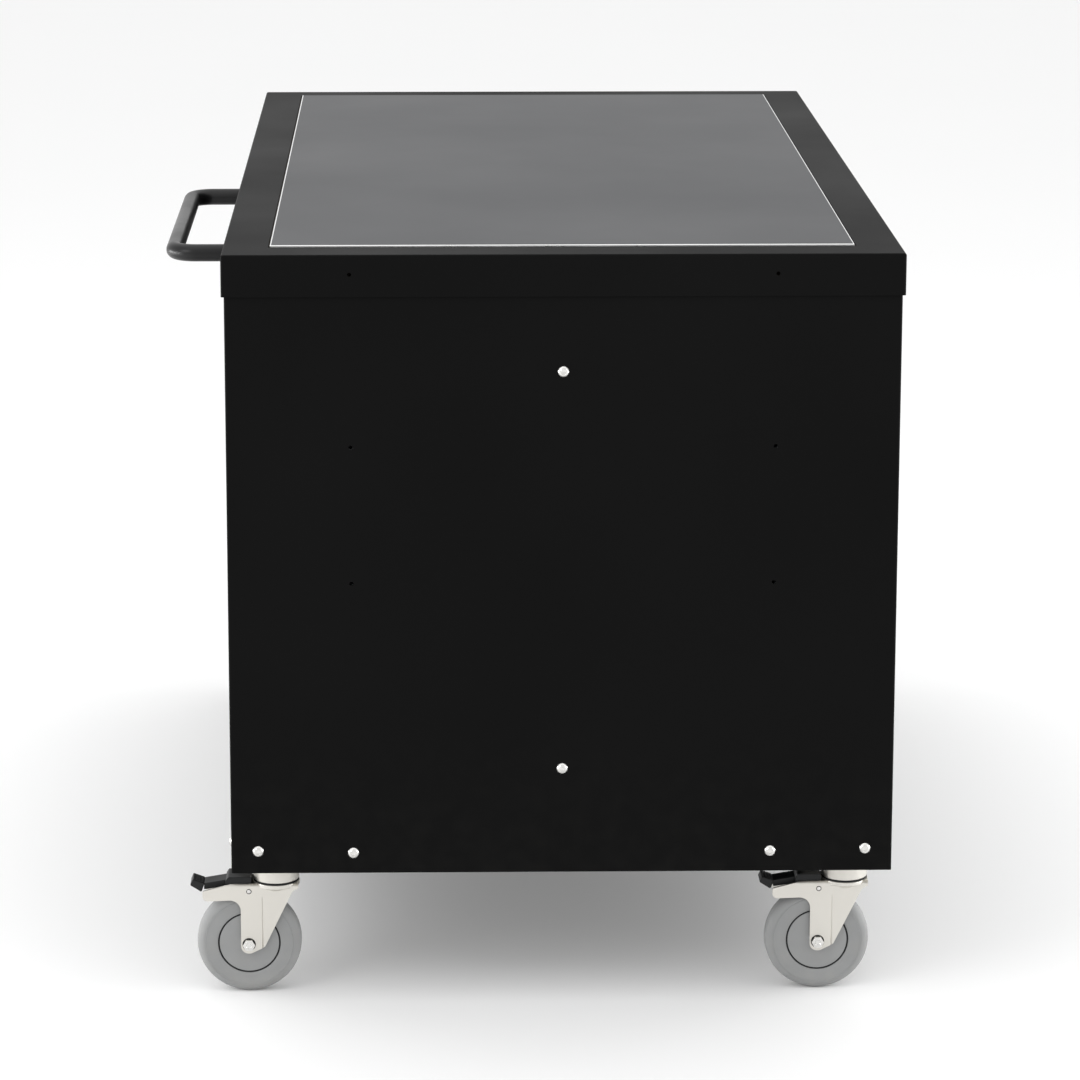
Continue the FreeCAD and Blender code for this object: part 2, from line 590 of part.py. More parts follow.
# ---------------------------------------------------------------- drawers
BAY = {
    "top": ("-worked.rack_in", "worked.rack_in"),
    "left": ("-worked.rack_in", "-sizes.partition_wide / 2"),
    "right": ("sizes.partition_wide / 2", "worked.rack_in"),
}
FRONT = {
    "top": ("-worked.front_x", "worked.front_x"),
    "left": ("-worked.front_x", "-sizes.front_gap / 2"),
    "right": ("sizes.front_gap / 2", "worked.front_x"),
}
LOW_TOP = "worked.fronts_low + worked.low_row"
DRAWERS = (
    ("drawer_top", "top", "worked.row_three", "worked.fronts_top", "sizes.top_pull_wide"),
    ("drawer_left_upper", "left", "worked.row_two", "worked.row_two + worked.low_row",
     "sizes.pull_wide"),
    ("drawer_right_upper", "right", "worked.row_two", "worked.row_two + worked.low_row",
     "sizes.pull_wide"),
    ("drawer_left_lower", "left", "worked.fronts_low", LOW_TOP, "sizes.pull_wide"),
    ("drawer_right_lower", "right", "worked.fronts_low", LOW_TOP, "sizes.pull_wide"),
)


def make_tray(name, bay, front, low, top):
    """Drawer: folded tray with a hollow front, open at the top."""
    body = new_body(f"{name}_tray")
    skin = "sizes.front_sheet"
    face = ("-worked.body_y", "worked.tray_front")
    brick(body, "front", front, face, (low, top))
    brick(body, "front_void", (f"{front[0]} + {skin}", f"{front[1]} - {skin}"),
          (f"{face[0]} + {skin}", f"{face[1]} - {skin}"), (f"{low} - 1", f"{top} - {skin}"),
          cut=True)
    sides = (f"{bay[0]} + sizes.slide_thick", f"{bay[1]} - sizes.slide_thick")
    level = (f"{low} + sizes.tray_lift", f"{top} - sizes.tray_drop")
    brick(body, "box", sides, ("worked.tray_front - sizes.front_sheet", "worked.tray_back"), level)
    wall = "sizes.tray_sheet"
    brick(body, "inside", (f"{sides[0]} + {wall}", f"{sides[1]} - {wall}"),
          ("worked.tray_front", f"worked.tray_back - {wall}"),
          (f"{level[0]} + {wall}", f"{level[1]} + 1"), cut=True)
    edge = value_of("worked.body_y")
    fillet(body, "front_bend", "sizes.front_sheet", any_of(*(
        edge_at("z", x=value_of(side), y=edge) for side in front)))
    if name == "drawer_top":
        rod(body, "lock_hole", "y", ("worked.lock_x", "worked.lock_z"),
            (f"{face[0]} - 1", f"{face[1]} + 1"), "sizes.barrel_radius + sizes.run_gap", cut=True)


def make_pull(name, front, top, wide):
    """Strip pull hooked down at its outer edge, on the upper part of a drawer front."""
    body = new_body(f"{name}_pull", x=f"({front[0]} + {front[1]}) / 2")
    upper = f"{top} - sizes.pull_drop"
    face = "-worked.body_y"
    wall = "sizes.pull_sheet"
    corners = [
        (face, f"{upper} - sizes.pull_tall"),
        (face, upper),
        (f"{face} - sizes.pull_deep", upper),
        (f"{face} - sizes.pull_deep", f"{upper} - sizes.pull_lip"),
        (f"{face} - sizes.pull_deep + {wall}", f"{upper} - sizes.pull_lip"),
        (f"{face} - sizes.pull_deep + {wall}", f"{upper} - {wall}"),
        (f"{face} - {wall}", f"{upper} - {wall}"),
        (f"{face} - {wall}", f"{upper} - sizes.pull_tall"),
    ]
    sketch = outline(body, "pull_profile", "YZ_Plane", f"-({wide}) / 2", corners)
    pad(body, "pull_strip", sketch, wide)
    fillet(body, "pull_nose", "sizes.pull_sheet * 0.9",
           edge_at("x", y=value_of(f"{face} - sizes.pull_deep"), z=value_of(upper)))


def channel(name, low_x, high_x, back_low, middle, reach, sheet="sizes.slide_sheet"):
    """A slide member: a U channel along Y whose back is at one X bound."""
    run = ("worked.tray_front + sizes.slide_start", "worked.tray_back")
    block = doc.addObject("Part::Box", f"{name}_block")
    tie(block, Length=f"({high_x}) - ({low_x})", Width=f"({run[1]}) - ({run[0]})",
        Height=f"2 * ({reach})")
    place(block, low_x, run[0], f"{middle} - ({reach})")
    hollow = doc.addObject("Part::Box", f"{name}_hollow")
    inner = (f"{low_x} + {sheet}", f"{high_x} + 1") if back_low else (f"{low_x} - 1",
                                                                     f"{high_x} - {sheet}")
    tie(hollow, Length=f"({inner[1]}) - ({inner[0]})", Width=f"({run[1]}) - ({run[0]}) + 2",
        Height=f"2 * ({reach} - {sheet})")
    place(hollow, inner[0], f"{run[0]} - 1", f"{middle} - ({reach} - {sheet})")
    member = doc.addObject("Part::Cut", name)
    member.Base = block
    member.Tool = hollow
    return member


def slide_set(name, bay, low):
    """The members of a drawer's two slides, as lists of outer, middle and inner channels."""
    middle = f"{low} + sizes.slide_rise"
    sheet = "sizes.slide_sheet"
    gap = "sizes.slide_gap"
    outer_reach = "sizes.slide_tall / 2"
    middle_reach = f"{outer_reach} - {sheet} - {gap}"
    inner_reach = f"{middle_reach} - {sheet} - {gap}"
    thick = "sizes.slide_thick"
    rows = {
        "outer": ("0", f"{thick} - {gap}", True, outer_reach),
        "middle": (f"{sheet} + {gap}", f"{thick} - {sheet} - {gap}", True, middle_reach),
        "inner": (f"2 * ({sheet} + {gap})", thick, False, inner_reach),
    }
    made = {}
    for kind, (near, far, back_low, reach) in rows.items():
        made[kind] = [
            channel(f"{name}_{kind}_a", f"{bay[0]} + {near}", f"{bay[0]} + {far}", back_low,
                    middle, reach),
            channel(f"{name}_{kind}_b", f"{bay[1]} - ({far})", f"{bay[1]} - ({near})",
                    not back_low, middle, reach),
        ]
    return made


def gather(label, members):
    """One node made of several like members."""
    node = doc.addObject("Part::Compound", label)
    node.Label = label
    node.Links = members
    place(node, y="worked.mid_y")
    NODES.append(node)


def make_drawers():
    """Every drawer with its pull and slides; the fixed members share one node."""
    fixed = []
    for name, column, low, top, wide in DRAWERS:
        make_tray(name, BAY[column], FRONT[column], low, top)
        make_pull(name, FRONT[column], top, wide)
        members = slide_set(name, BAY[column], low)
        fixed += members["outer"]
        gather(f"{name}_middle_slides", members["middle"])
        gather(f"{name}_inner_slides", members["inner"])
    gather("fixed_slides", fixed)


def make_lock():
    """Key lock in the top drawer's front: barrel, keyway and cam."""
    body = new_body("lock_barrel", "worked.lock_x", "worked.mid_y", "worked.lock_z")
    front = "-worked.body_y - 2"
    back = "worked.tray_front + 1.2"
    rod(body, "barrel", "y", ("0", "0"), (front, back), "sizes.barrel_radius")
    rod(body, "rim", "y", ("0", "0"), (front, "-worked.body_y"), "sizes.barrel_radius + 2")
    brick(body, "keyway", both("0.8"), (f"{front} - 1", f"{front} + 6"), both("3.5"), cut=True)
    brick(body, "cam", ("-sizes.cam_length", "sizes.cam_wide / 2"),
          (back, f"{back} + sizes.cam_thick"), both("sizes.cam_wide / 2"))


# ---------------------------------------------------------------- casters
CORNERS = {
    "front_left": ("-", "-"), "front_right": ("", "-"),
    "rear_left": ("-", ""), "rear_right": ("", ""),
}


def caster_body(corner, piece, y="0", z="0"):
    """A caster piece, placed from its corner's swivel axis."""
    turn, row = CORNERS[corner]
    return new_body(f"caster_{corner}_{piece}", f"{turn}worked.caster_x",
                    f"worked.mid_y + {row}worked.caster_y + {y}", z)


def make_mount(corner):
    """Caster top plate with four holes, swivel cup and riveted king pin."""
    body = caster_body(corner, "mount")
    half = "sizes.mount_side / 2"
    brick(body, "plate", both(half), both(half),
          ("worked.ride_height - sizes.mount_thick", "worked.ride_height"))
    side = value_of(half)
    fillet(body, "plate_corner", "sizes.mount_thick * 2", edge_at("z", x=side, y=side))
    under = "worked.ride_height - sizes.mount_thick"
    rod(body, "cup", "z", ("0", "0"), ("worked.cup_bottom", under), "sizes.cup_size / 2")
    rod(body, "cup_neck", "z", ("0", "0"),
        (f"{under} - sizes.mount_thick", under), "sizes.cup_size / 2 + 2")
    head_top = "worked.crown_low - sizes.fit_gap"
    rod(body, "kingpin", "z", ("0", "0"), (head_top, "worked.cup_bottom"), "sizes.kingpin_size / 2")
    rod(body, "kingpin_head", "z", ("0", "0"), (f"{head_top} - sizes.kingpin_head_tall", head_top),
        "sizes.kingpin_head / 2")
    for along in ("-", ""):
        for across in ("-", ""):
            rod(body, f"bolt_hole_{len(along)}{len(across)}", "z",
                (f"{along}sizes.bolt_reach", f"{across}sizes.bolt_reach"),
                ("worked.ride_height - 2 * sizes.mount_thick", "worked.ride_height + 1"),
                "sizes.bolt_size / 2 + sizes.run_gap", cut=True)


def make_fork(corner):
    """Pressed fork: crown with two trailing legs, each with an arm beside the pedal."""
    body = caster_body(corner, "fork")
    out = "worked.fork_out"
    top = "worked.crown_top"
    brick(body, "crown", both(out), ("-sizes.fork_back", "sizes.crown_reach"),
          ("worked.crown_low", top))
    rod(body, "crown_disc", "z", ("0", "0"), ("worked.crown_low", top), "sizes.cup_size / 2")
    foot = "worked.axle_z - sizes.fork_tip"
    front = "sizes.wheel_trail + sizes.fork_leg"
    heel = ("sizes.wheel_trail - sizes.fork_heel", f"{foot} + sizes.fork_heel_up")
    toe = ("sizes.wheel_trail - sizes.fork_leg / 4", foot)
    arch = (front, f"{top} - sizes.arm_root_tall")
    arm_high = ("sizes.fork_arm", f"{top} - sizes.arm_drop")
    arm_low = ("sizes.fork_arm", f"{arm_high[1]} - sizes.arm_end_tall")
    neck = ("-sizes.fork_neck", f"{top} - sizes.fork_neck_drop")
    corners = [
        ("-sizes.fork_back", top), ("-sizes.fork_back", f"{top} - 2 * sizes.fork_sheet"), neck,
        heel, toe, (front, foot), arch, arm_low, arm_high, (f"{front} + sizes.fork_tip / 2", top),
    ]
    for name, start in (("left_leg", f"-({out})"), ("right_leg", "worked.fork_in")):
        sketch = outline(body, f"{name}_outline", "YZ_Plane", start, corners)
        pad(body, name, sketch, "sizes.fork_sheet")
    rounds = (
        ("tip_round", (front, foot), "sizes.fork_leg - 0.2"), ("toe_round", toe, "sizes.fork_leg"),
        ("heel_round", heel, "sizes.fork_leg / 2"), ("arch_round", arch, "sizes.fork_arch"),
        ("arm_low_round", arm_low, "sizes.arm_end_tall / 2"),
        ("arm_high_round", arm_high, "sizes.arm_end_tall / 5"),
        ("neck_round", neck, "sizes.fork_leg"),
    )
    for name, (spot_y, spot_z), radius in rounds:
        fillet(body, name, radius, edge_at("x", y=value_of(spot_y), z=value_of(spot_z)))
    rod(body, "kingpin_hole", "z", ("0", "0"), ("worked.crown_low - 1", f"{top} + 1"),
        "sizes.kingpin_size / 2 + sizes.run_gap", cut=True)
    across = both(f"{out} + 1")
    rod(body, "axle_hole", "x", ("sizes.wheel_trail", "worked.axle_z"), across,
        "sizes.axle_size / 2 + sizes.run_gap", cut=True)
    rod(body, "pedal_hole", "x", ("sizes.pivot_out", "worked.pivot_z"), across,
        "sizes.pedal_pin / 2 + sizes.run_gap", cut=True)


def make_axle(corner):
    """Axle bolt with its head and its lock nut."""
    body = caster_body(corner, "axle", y="sizes.wheel_trail", z="worked.axle_z")
    reach = "worked.fork_out"
    rod(body, "shank", "x", ("0", "0"), (f"-({reach})", f"{reach} + sizes.axle_head_tall + 2"),
        "sizes.axle_size / 2")
    hex_bar(body, "head", "x", ("0", "0"), (f"-({reach}) - sizes.axle_head_tall", f"-({reach})"),
            "sizes.axle_flat")
    hex_bar(body, "nut", "x", ("0", "0"), (reach, f"{reach} + sizes.axle_head_tall"),
            "sizes.axle_flat")


def make_pedal(corner):
    """Total-lock pedal with its pin and brake shoe; pushed down, the shoe nears the tread."""
    body = caster_body(corner, "pedal", y="sizes.pivot_out", z="worked.pivot_z")
    inner = "sizes.cup_size / 2 + sizes.pedal_gap - sizes.pivot_out"
    block = "sizes.block_out - sizes.pivot_out"
    step = "sizes.fork_arm - sizes.pivot_out"
    tip = "sizes.pedal_reach - sizes.pivot_out"
    top = "sizes.pivot_drop + sizes.pedal_rise"
    lever_top = f"{top} - sizes.block_step"
    pad_top = f"{lever_top} - sizes.lever_fall"
    shoe = "sizes.shoe_out - sizes.pivot_out"
    shoe_z = ("worked.axle_z - worked.pivot_z + sizes.shoe_gap + sqrt((sizes.wheel_size / 2) ^ 2"
              " - (sizes.shoe_out - sizes.wheel_trail) ^ 2)")
    corners = [
        (inner, "sizes.block_low"), (inner, top), (block, top), (block, lever_top),
        (step, pad_top), (f"{tip} - sizes.pad_slant", f"{pad_top} + sizes.pad_rise"),
        (tip, f"{pad_top} + sizes.pad_rise - sizes.pad_thick"),
        (f"{step} + sizes.pad_slant", f"{pad_top} - sizes.pad_rise - sizes.lever_thick"),
        (step, f"{pad_top} - sizes.lever_thick"), (block, f"{lever_top} - sizes.lever_thick"),
        (f"{shoe} + sizes.shoe_half", "sizes.block_step"), (f"{shoe} + sizes.shoe_half", shoe_z),
        (f"{shoe} - sizes.shoe_half", f"{shoe_z} + sizes.block_low"),
        ("sizes.lever_fall", "sizes.block_low"),
    ]
    sketch = outline(body, "pedal_outline", "YZ_Plane", "-sizes.pedal_half", corners)
    pad(body, "lever", sketch, "2 * sizes.pedal_half")
    rod(body, "boss", "x", ("0", "0"), both("sizes.pedal_half"),
        "sizes.pedal_pin / 2 + sizes.pin_wall")
    rod(body, "pin", "x", ("0", "0"), both("worked.fork_out + 1"), "sizes.pedal_pin / 2")


def ring_edge(across, radius):
    """A test for round edges of one radius at a distance along X from the middle."""
    def wanted(edge):
        if edge.Curve.TypeId != "Part::GeomCircle":
            return False
        spot = abs(edge.Curve.Center.x)
        return abs(edge.Curve.Radius - radius) < 0.01 and abs(spot - across) < 0.01
    return wanted


def make_wheel(corner):
    """Hub with its boss, and the round-shouldered tread pressed round it."""
    spot = {"y": "sizes.wheel_trail", "z": "worked.axle_z"}
    hub = caster_body(corner, "hub", **spot)
    bore = "sizes.axle_size / 2 + sizes.run_gap"
    rim = "sizes.hub_size / 2"
    boss = "worked.fork_in - 0.5"
    face = "sizes.wheel_width / 2"
    groove = f"{rim} - sizes.hub_groove"
    deep = f"{face} - sizes.hub_deep"
    profile = [
        (boss, bore), (boss, "sizes.hub_boss / 2"), (face, "sizes.hub_boss / 2"),
        (f"{face} - sizes.hub_cone", groove), (deep, groove), (deep, rim),
    ]
    profile += [(f"-({across})", along) for across, along in reversed(profile)]
    revolve(hub, "hub_turned", outline(hub, "hub_profile", "XY_Plane", "0", profile))
    tread = caster_body(corner, "tread", **spot)
    outer = "sizes.wheel_size / 2"
    profile = [(face, rim), (face, outer), (f"-({face})", outer), (f"-({face})", rim)]
    revolve(tread, "tread_turned", outline(tread, "tread_profile", "XY_Plane", "0", profile))
    fillet(tread, "tread_shoulder", "sizes.tread_round", ring_edge(value_of(face), value_of(outer)))


def make_casters():
    """Four casters, all trailing towards the handle."""
    for corner in CORNERS:
        make_mount(corner)
        make_fork(corner)
        make_axle(corner)
        make_pedal(corner)
        make_wheel(corner)


# ---------------------------------------------------------------- build and write
make_top_cap()
make_top_core()
make_top_plate()
make_end_panel("left_end_panel", -1)
make_end_panel("right_end_panel", 1)
make_rear_panel()
make_base_pan()
make_rack("left_slide_rack", -1)
make_rack("right_slide_rack", 1)
make_partition()
make_header()
make_handle()
make_drawers()
make_lock()
make_casters()
make_fasteners()
doc.recompute()

for item in doc.Objects:
    if "Invalid" in item.State or "Error" in item.State:
        raise RuntimeError(f"{item.Label}: {item.State}")
for node in NODES:
    if node.Shape.isNull() or not node.Shape.isValid():
        raise RuntimeError(f"{node.Label}: its shape is null or not valid")
for node in NODES:
    node.Shape.exportStep(f"parts/{node.Label}.step")
    print(f"{node.Label}: {len(node.Shape.Solids)} solid, {node.Shape.Volume / 1000:.1f} cm3")
print(f"{len(NODES)} nodes")
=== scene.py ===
"""Looks of a rolling tool chest, built round its packed metal frame.

Shapes are worked in millimetres and turned into metres when a piece is finished. X runs along the
chest, the drawers open towards -Y, the push handle is on +Y and the floor is at Z = 0.
"""

import logging
import math
from collections.abc import Iterable, Sequence
from dataclasses import dataclass
from enum import Enum

import bmesh
import bpy
from mathutils import Matrix, Vector


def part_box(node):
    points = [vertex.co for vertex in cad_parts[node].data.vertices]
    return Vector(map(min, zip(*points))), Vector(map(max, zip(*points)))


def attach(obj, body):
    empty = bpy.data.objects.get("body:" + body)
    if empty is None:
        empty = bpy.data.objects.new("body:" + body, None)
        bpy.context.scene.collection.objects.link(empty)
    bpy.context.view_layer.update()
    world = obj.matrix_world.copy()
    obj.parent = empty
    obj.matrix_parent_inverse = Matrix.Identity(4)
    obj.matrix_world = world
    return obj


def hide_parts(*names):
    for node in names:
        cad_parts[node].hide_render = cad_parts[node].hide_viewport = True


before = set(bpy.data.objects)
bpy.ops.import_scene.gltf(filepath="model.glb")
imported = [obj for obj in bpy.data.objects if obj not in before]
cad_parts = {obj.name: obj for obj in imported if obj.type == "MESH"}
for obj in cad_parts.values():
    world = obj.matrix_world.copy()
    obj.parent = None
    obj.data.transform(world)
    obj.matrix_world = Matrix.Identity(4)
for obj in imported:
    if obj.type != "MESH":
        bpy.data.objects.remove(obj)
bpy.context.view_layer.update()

LOG = logging.getLogger("tool_chest")
MM = 0.001
FULL_TURN = 2 * math.pi
HEX_TURN = math.radians(60)
DUST_COLOUR = "a8a49c"
DUST_DULLING = 0.4
DRIFT_LOW, DRIFT_HIGH = 0.3, 0.7
Colour = tuple[float, float, float, float]
Point = tuple[float, float]
Corner = tuple[float, float, float]


def linear(code: str) -> Colour:
    """Turn a screen colour into the linear colour that shaders take.

    Args:
        code: Six hexadecimal digits, red first.

    Returns:
        The linear red, green and blue, and an alpha of 1.
    """
    parts = [int(code[start:start + 2], 16) / 255 for start in (0, 2, 4)]
    bent = [part / 12.92 if part <= 0.04045 else ((part + 0.055) / 1.055) ** 2.4 for part in parts]
    return (*bent, 1.0)


def node_box(node: str) -> tuple[Vector, Vector]:
    """Give a frame node's lowest and highest corners in millimetres."""
    low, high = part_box(node)
    return low / MM, high / MM


# ---------------------------------------------------------------- finishes
class Bench:
    """Places and wires the nodes of one shader tree."""

    def __init__(self, tree: bpy.types.NodeTree) -> None:
        """Start on a tree."""
        self.tree = tree

    def add(self, kind: str, inputs: dict | None = None, **settings) -> bpy.types.Node:
        """Place a node.

        Args:
            kind: The node's type name.
            inputs: Socket names or numbers, each with a value or an output socket to wire in.
            **settings: Attributes of the node itself.

        Returns:
            The new node.
        """
        node = self.tree.nodes.new(kind)
        for name, value in settings.items():
            setattr(node, name, value)
        for name, value in (inputs or {}).items():
            if isinstance(value, bpy.types.NodeSocket):
                self.tree.links.new(value, node.inputs[name])
            else:
                node.inputs[name].default_value = value
        return node

    def effect(self, tree: bpy.types.NodeTree, inputs: dict) -> bpy.types.Node:
        """Place one of the shared effect groups and set or wire its inputs."""
        return self.add("ShaderNodeGroup", inputs, node_tree=tree)


def effect_tree(name: str, inputs: dict[str, str], outputs: dict[str, str]) -> tuple:
    """Start a shared effect group.

    Args:
        name: The group's name.
        inputs: Each input's name and socket type.
        outputs: Each output's name and socket type.

    Returns:
        The tree, its bench, its input node and its output node.
    """
    tree = bpy.data.node_groups.new(name, "ShaderNodeTree")
    for direction, sockets in (("INPUT", inputs), ("OUTPUT", outputs)):
        for socket, kind in sockets.items():
            tree.interface.new_socket(socket, in_out=direction, socket_type=f"NodeSocket{kind}")
    bench = Bench(tree)
    return tree, bench, bench.add("NodeGroupInput"), bench.add("NodeGroupOutput")


def tone_drift_tree() -> bpy.types.NodeTree:
    """Make the effect that lets a colour drift lighter and darker over a surface."""
    tree, bench, given, made = effect_tree(
        "tone_drift", {"Vector": "Vector", "Base": "Color", "Scale": "Float", "Spread": "Float"},
        {"Colour": "Color", "Mask": "Float"})
    noise = bench.add("ShaderNodeTexNoise", {
        "Vector": given.outputs["Vector"], "Scale": given.outputs["Scale"], "Detail": 4.0})
    swing = bench.add("ShaderNodeMapRange", {
        "Value": noise.outputs["Fac"], "From Min": DRIFT_LOW, "From Max": DRIFT_HIGH,
        "To Min": -1.0, "To Max": 1.0})
    share = bench.add("ShaderNodeMath", {
        0: swing.outputs["Result"], 1: given.outputs["Spread"], 2: 1.0}, operation="MULTIPLY_ADD")
    tone = bench.add("ShaderNodeVectorMath", {
        0: given.outputs["Base"], "Scale": share.outputs[0]}, operation="SCALE")
    tree.links.new(tone.outputs[0], made.inputs["Colour"])
    tree.links.new(noise.outputs["Fac"], made.inputs["Mask"])
    return tree


def fine_grain_tree() -> bpy.types.NodeTree:
    """Make the effect for a fine stipple: a height of two sizes of noise together."""
    tree, bench, given, made = effect_tree(
        "fine_grain", {"Vector": "Vector", "Scale": "Float"}, {"Height": "Float"})
    coarse = bench.add("ShaderNodeTexNoise", {
        "Vector": given.outputs["Vector"], "Scale": given.outputs["Scale"], "Detail": 2.0})
    double = bench.add("ShaderNodeMath", {0: given.outputs["Scale"], 1: 3.1},
                       operation="MULTIPLY")
    fine = bench.add("ShaderNodeTexNoise", {
        "Vector": given.outputs["Vector"], "Scale": double.outputs[0], "Detail": 1.0})
    height = bench.add("ShaderNodeMath", {
        0: fine.outputs["Fac"], 1: 0.35, 2: coarse.outputs["Fac"]}, operation="MULTIPLY_ADD")
    tree.links.new(height.outputs[0], made.inputs["Height"])
    return tree


def drawn_lines_tree() -> bpy.types.NodeTree:
    """Make the effect for brushed or drawn metal: noise stretched along one direction."""
    tree, bench, given, made = effect_tree(
        "drawn_lines", {"Vector": "Vector", "Stretch": "Vector", "Scale": "Float"},
        {"Height": "Float", "Mask": "Float"})
    stretched = bench.add("ShaderNodeVectorMath", {
        0: given.outputs["Vector"], 1: given.outputs["Stretch"]}, operation="MULTIPLY")
    noise = bench.add("ShaderNodeTexNoise", {
        "Vector": stretched.outputs[0], "Scale": given.outputs["Scale"], "Detail": 3.0})
    mask = bench.add("ShaderNodeMapRange", {
        "Value": noise.outputs["Fac"], "From Min": 0.35, "From Max": 0.65})
    tree.links.new(noise.outputs["Fac"], made.inputs["Height"])
    tree.links.new(mask.outputs["Result"], made.inputs["Mask"])
    return tree


def settled_dust_tree() -> bpy.types.NodeTree:
    """Make the effect for dust: patchy, thickest at the floor and gone at a given height."""
    tree, bench, given, made = effect_tree(
        "settled_dust", {"Vector": "Vector", "Reach": "Float", "Amount": "Float"},
        {"Mask": "Float"})
    split = bench.add("ShaderNodeSeparateXYZ", {"Vector": given.outputs["Vector"]})
    fade = bench.add("ShaderNodeMapRange", {
        "Value": split.outputs["Z"], "From Min": 0.0, "From Max": given.outputs["Reach"],
        "To Min": 1.0, "To Max": 0.0})
    patch = bench.add("ShaderNodeTexNoise", {
        "Vector": given.outputs["Vector"], "Scale": 45.0, "Detail": 5.0})
    patchy = bench.add("ShaderNodeMapRange", {
        "Value": patch.outputs["Fac"], "From Min": 0.4, "From Max": 0.75})
    both = bench.add("ShaderNodeMath", {0: fade.outputs["Result"], 1: patchy.outputs["Result"]},
                     operation="MULTIPLY")
    mask = bench.add("ShaderNodeMath", {0: both.outputs[0], 1: given.outputs["Amount"]},
                     operation="MULTIPLY", use_clamp=True)
    tree.links.new(mask.outputs[0], made.inputs["Mask"])
    return tree


EFFECTS: dict[str, bpy.types.NodeTree] = {
    "tone_drift": tone_drift_tree(), "fine_grain": fine_grain_tree(),
    "drawn_lines": drawn_lines_tree(), "settled_dust": settled_dust_tree(),
}


@dataclass(frozen=True)
class Finish:
    """One surface finish: its colour, gloss and fine relief, and how much they vary.

    Attributes:
        name: The material's name.
        colour: Screen colour as six hexadecimal digits.
        rough: Middle roughness.
        rough_swing: How far the roughness moves either way over the surface.
        metal: Metallic share.
        specular: Specular level, 0.5 for ordinary paint and plastic.
        tone_spread: How far the colour's brightness moves either way.
        tone_scale: Drift patches to the metre.
        grain_scale: Stipple or line size, in marks to the metre.
        grain_rise: Height of the relief in millimetres.
        stretch: Squeeze of the relief on each axis, which draws it out into lines.
        dust_reach: Height in metres where settled dust ends.
        dust: Amount of settled dust.
    """

    name: str
    colour: str
    rough: float
    rough_swing: float = 0.06
    metal: float = 0.0
    specular: float = 0.5
    tone_spread: float = 0.06
    tone_scale: float = 9.0
    grain_scale: float = 900.0
    grain_rise: float = 0.02
    stretch: tuple[float, float, float] | None = None
    dust_reach: float = 0.3
    dust: float = 0.0

    def material(self) -> bpy.types.Material:
        """Give this finish's material, which is built the first time it is asked for."""
        ready = bpy.data.materials.get(self.name)
        return ready if ready is not None else self.build()

    def build(self) -> bpy.types.Material:
        """Wire the finish: drifting tone and roughness, settled dust and fine relief."""
        material = bpy.data.materials.new(self.name)
        material.use_nodes = True
        material.diffuse_color = linear(self.colour)
        bench = Bench(material.node_tree)
        shader = material.node_tree.nodes["Principled BSDF"]
        shader.inputs["Metallic"].default_value = self.metal
        shader.inputs["Specular IOR Level"].default_value = self.specular
        place = bench.add("ShaderNodeTexCoord").outputs["Object"]
        tone = bench.effect(EFFECTS["tone_drift"], {
            "Vector": place, "Base": linear(self.colour), "Scale": self.tone_scale,
            "Spread": self.tone_spread})
        dust = bench.effect(EFFECTS["settled_dust"], {
            "Vector": place, "Reach": self.dust_reach, "Amount": self.dust})
        colour = bench.add("ShaderNodeMix", {
            0: dust.outputs["Mask"], 6: tone.outputs["Colour"], 7: linear(DUST_COLOUR)},
            data_type="RGBA")
        rough = bench.add("ShaderNodeMapRange", {
            "Value": tone.outputs["Mask"], "From Min": DRIFT_LOW, "From Max": DRIFT_HIGH,
            "To Min": self.rough - self.rough_swing, "To Max": self.rough + self.rough_swing})
        duller = bench.add("ShaderNodeMath", {
            0: dust.outputs["Mask"], 1: DUST_DULLING, 2: rough.outputs["Result"]},
            operation="MULTIPLY_ADD", use_clamp=True)
        bump = bench.add("ShaderNodeBump", {
            "Height": self.relief(bench, place), "Strength": 1.0,
            "Distance": self.grain_rise * MM})
        links = material.node_tree.links
        links.new(colour.outputs[2], shader.inputs["Base Color"])
        links.new(duller.outputs[0], shader.inputs["Roughness"])
        links.new(bump.outputs["Normal"], shader.inputs["Normal"])
        return material

    def relief(self, bench: Bench, place: bpy.types.NodeSocket) -> bpy.types.NodeSocket:
        """Choose the fine relief: a stipple, or lines where the finish is stretched."""
        if self.stretch is None:
            return bench.effect(EFFECTS["fine_grain"], {
                "Vector": place, "Scale": self.grain_scale}).outputs["Height"]
        return bench.effect(EFFECTS["drawn_lines"], {
            "Vector": place, "Stretch": self.stretch, "Scale": self.grain_scale,
        }).outputs["Height"]


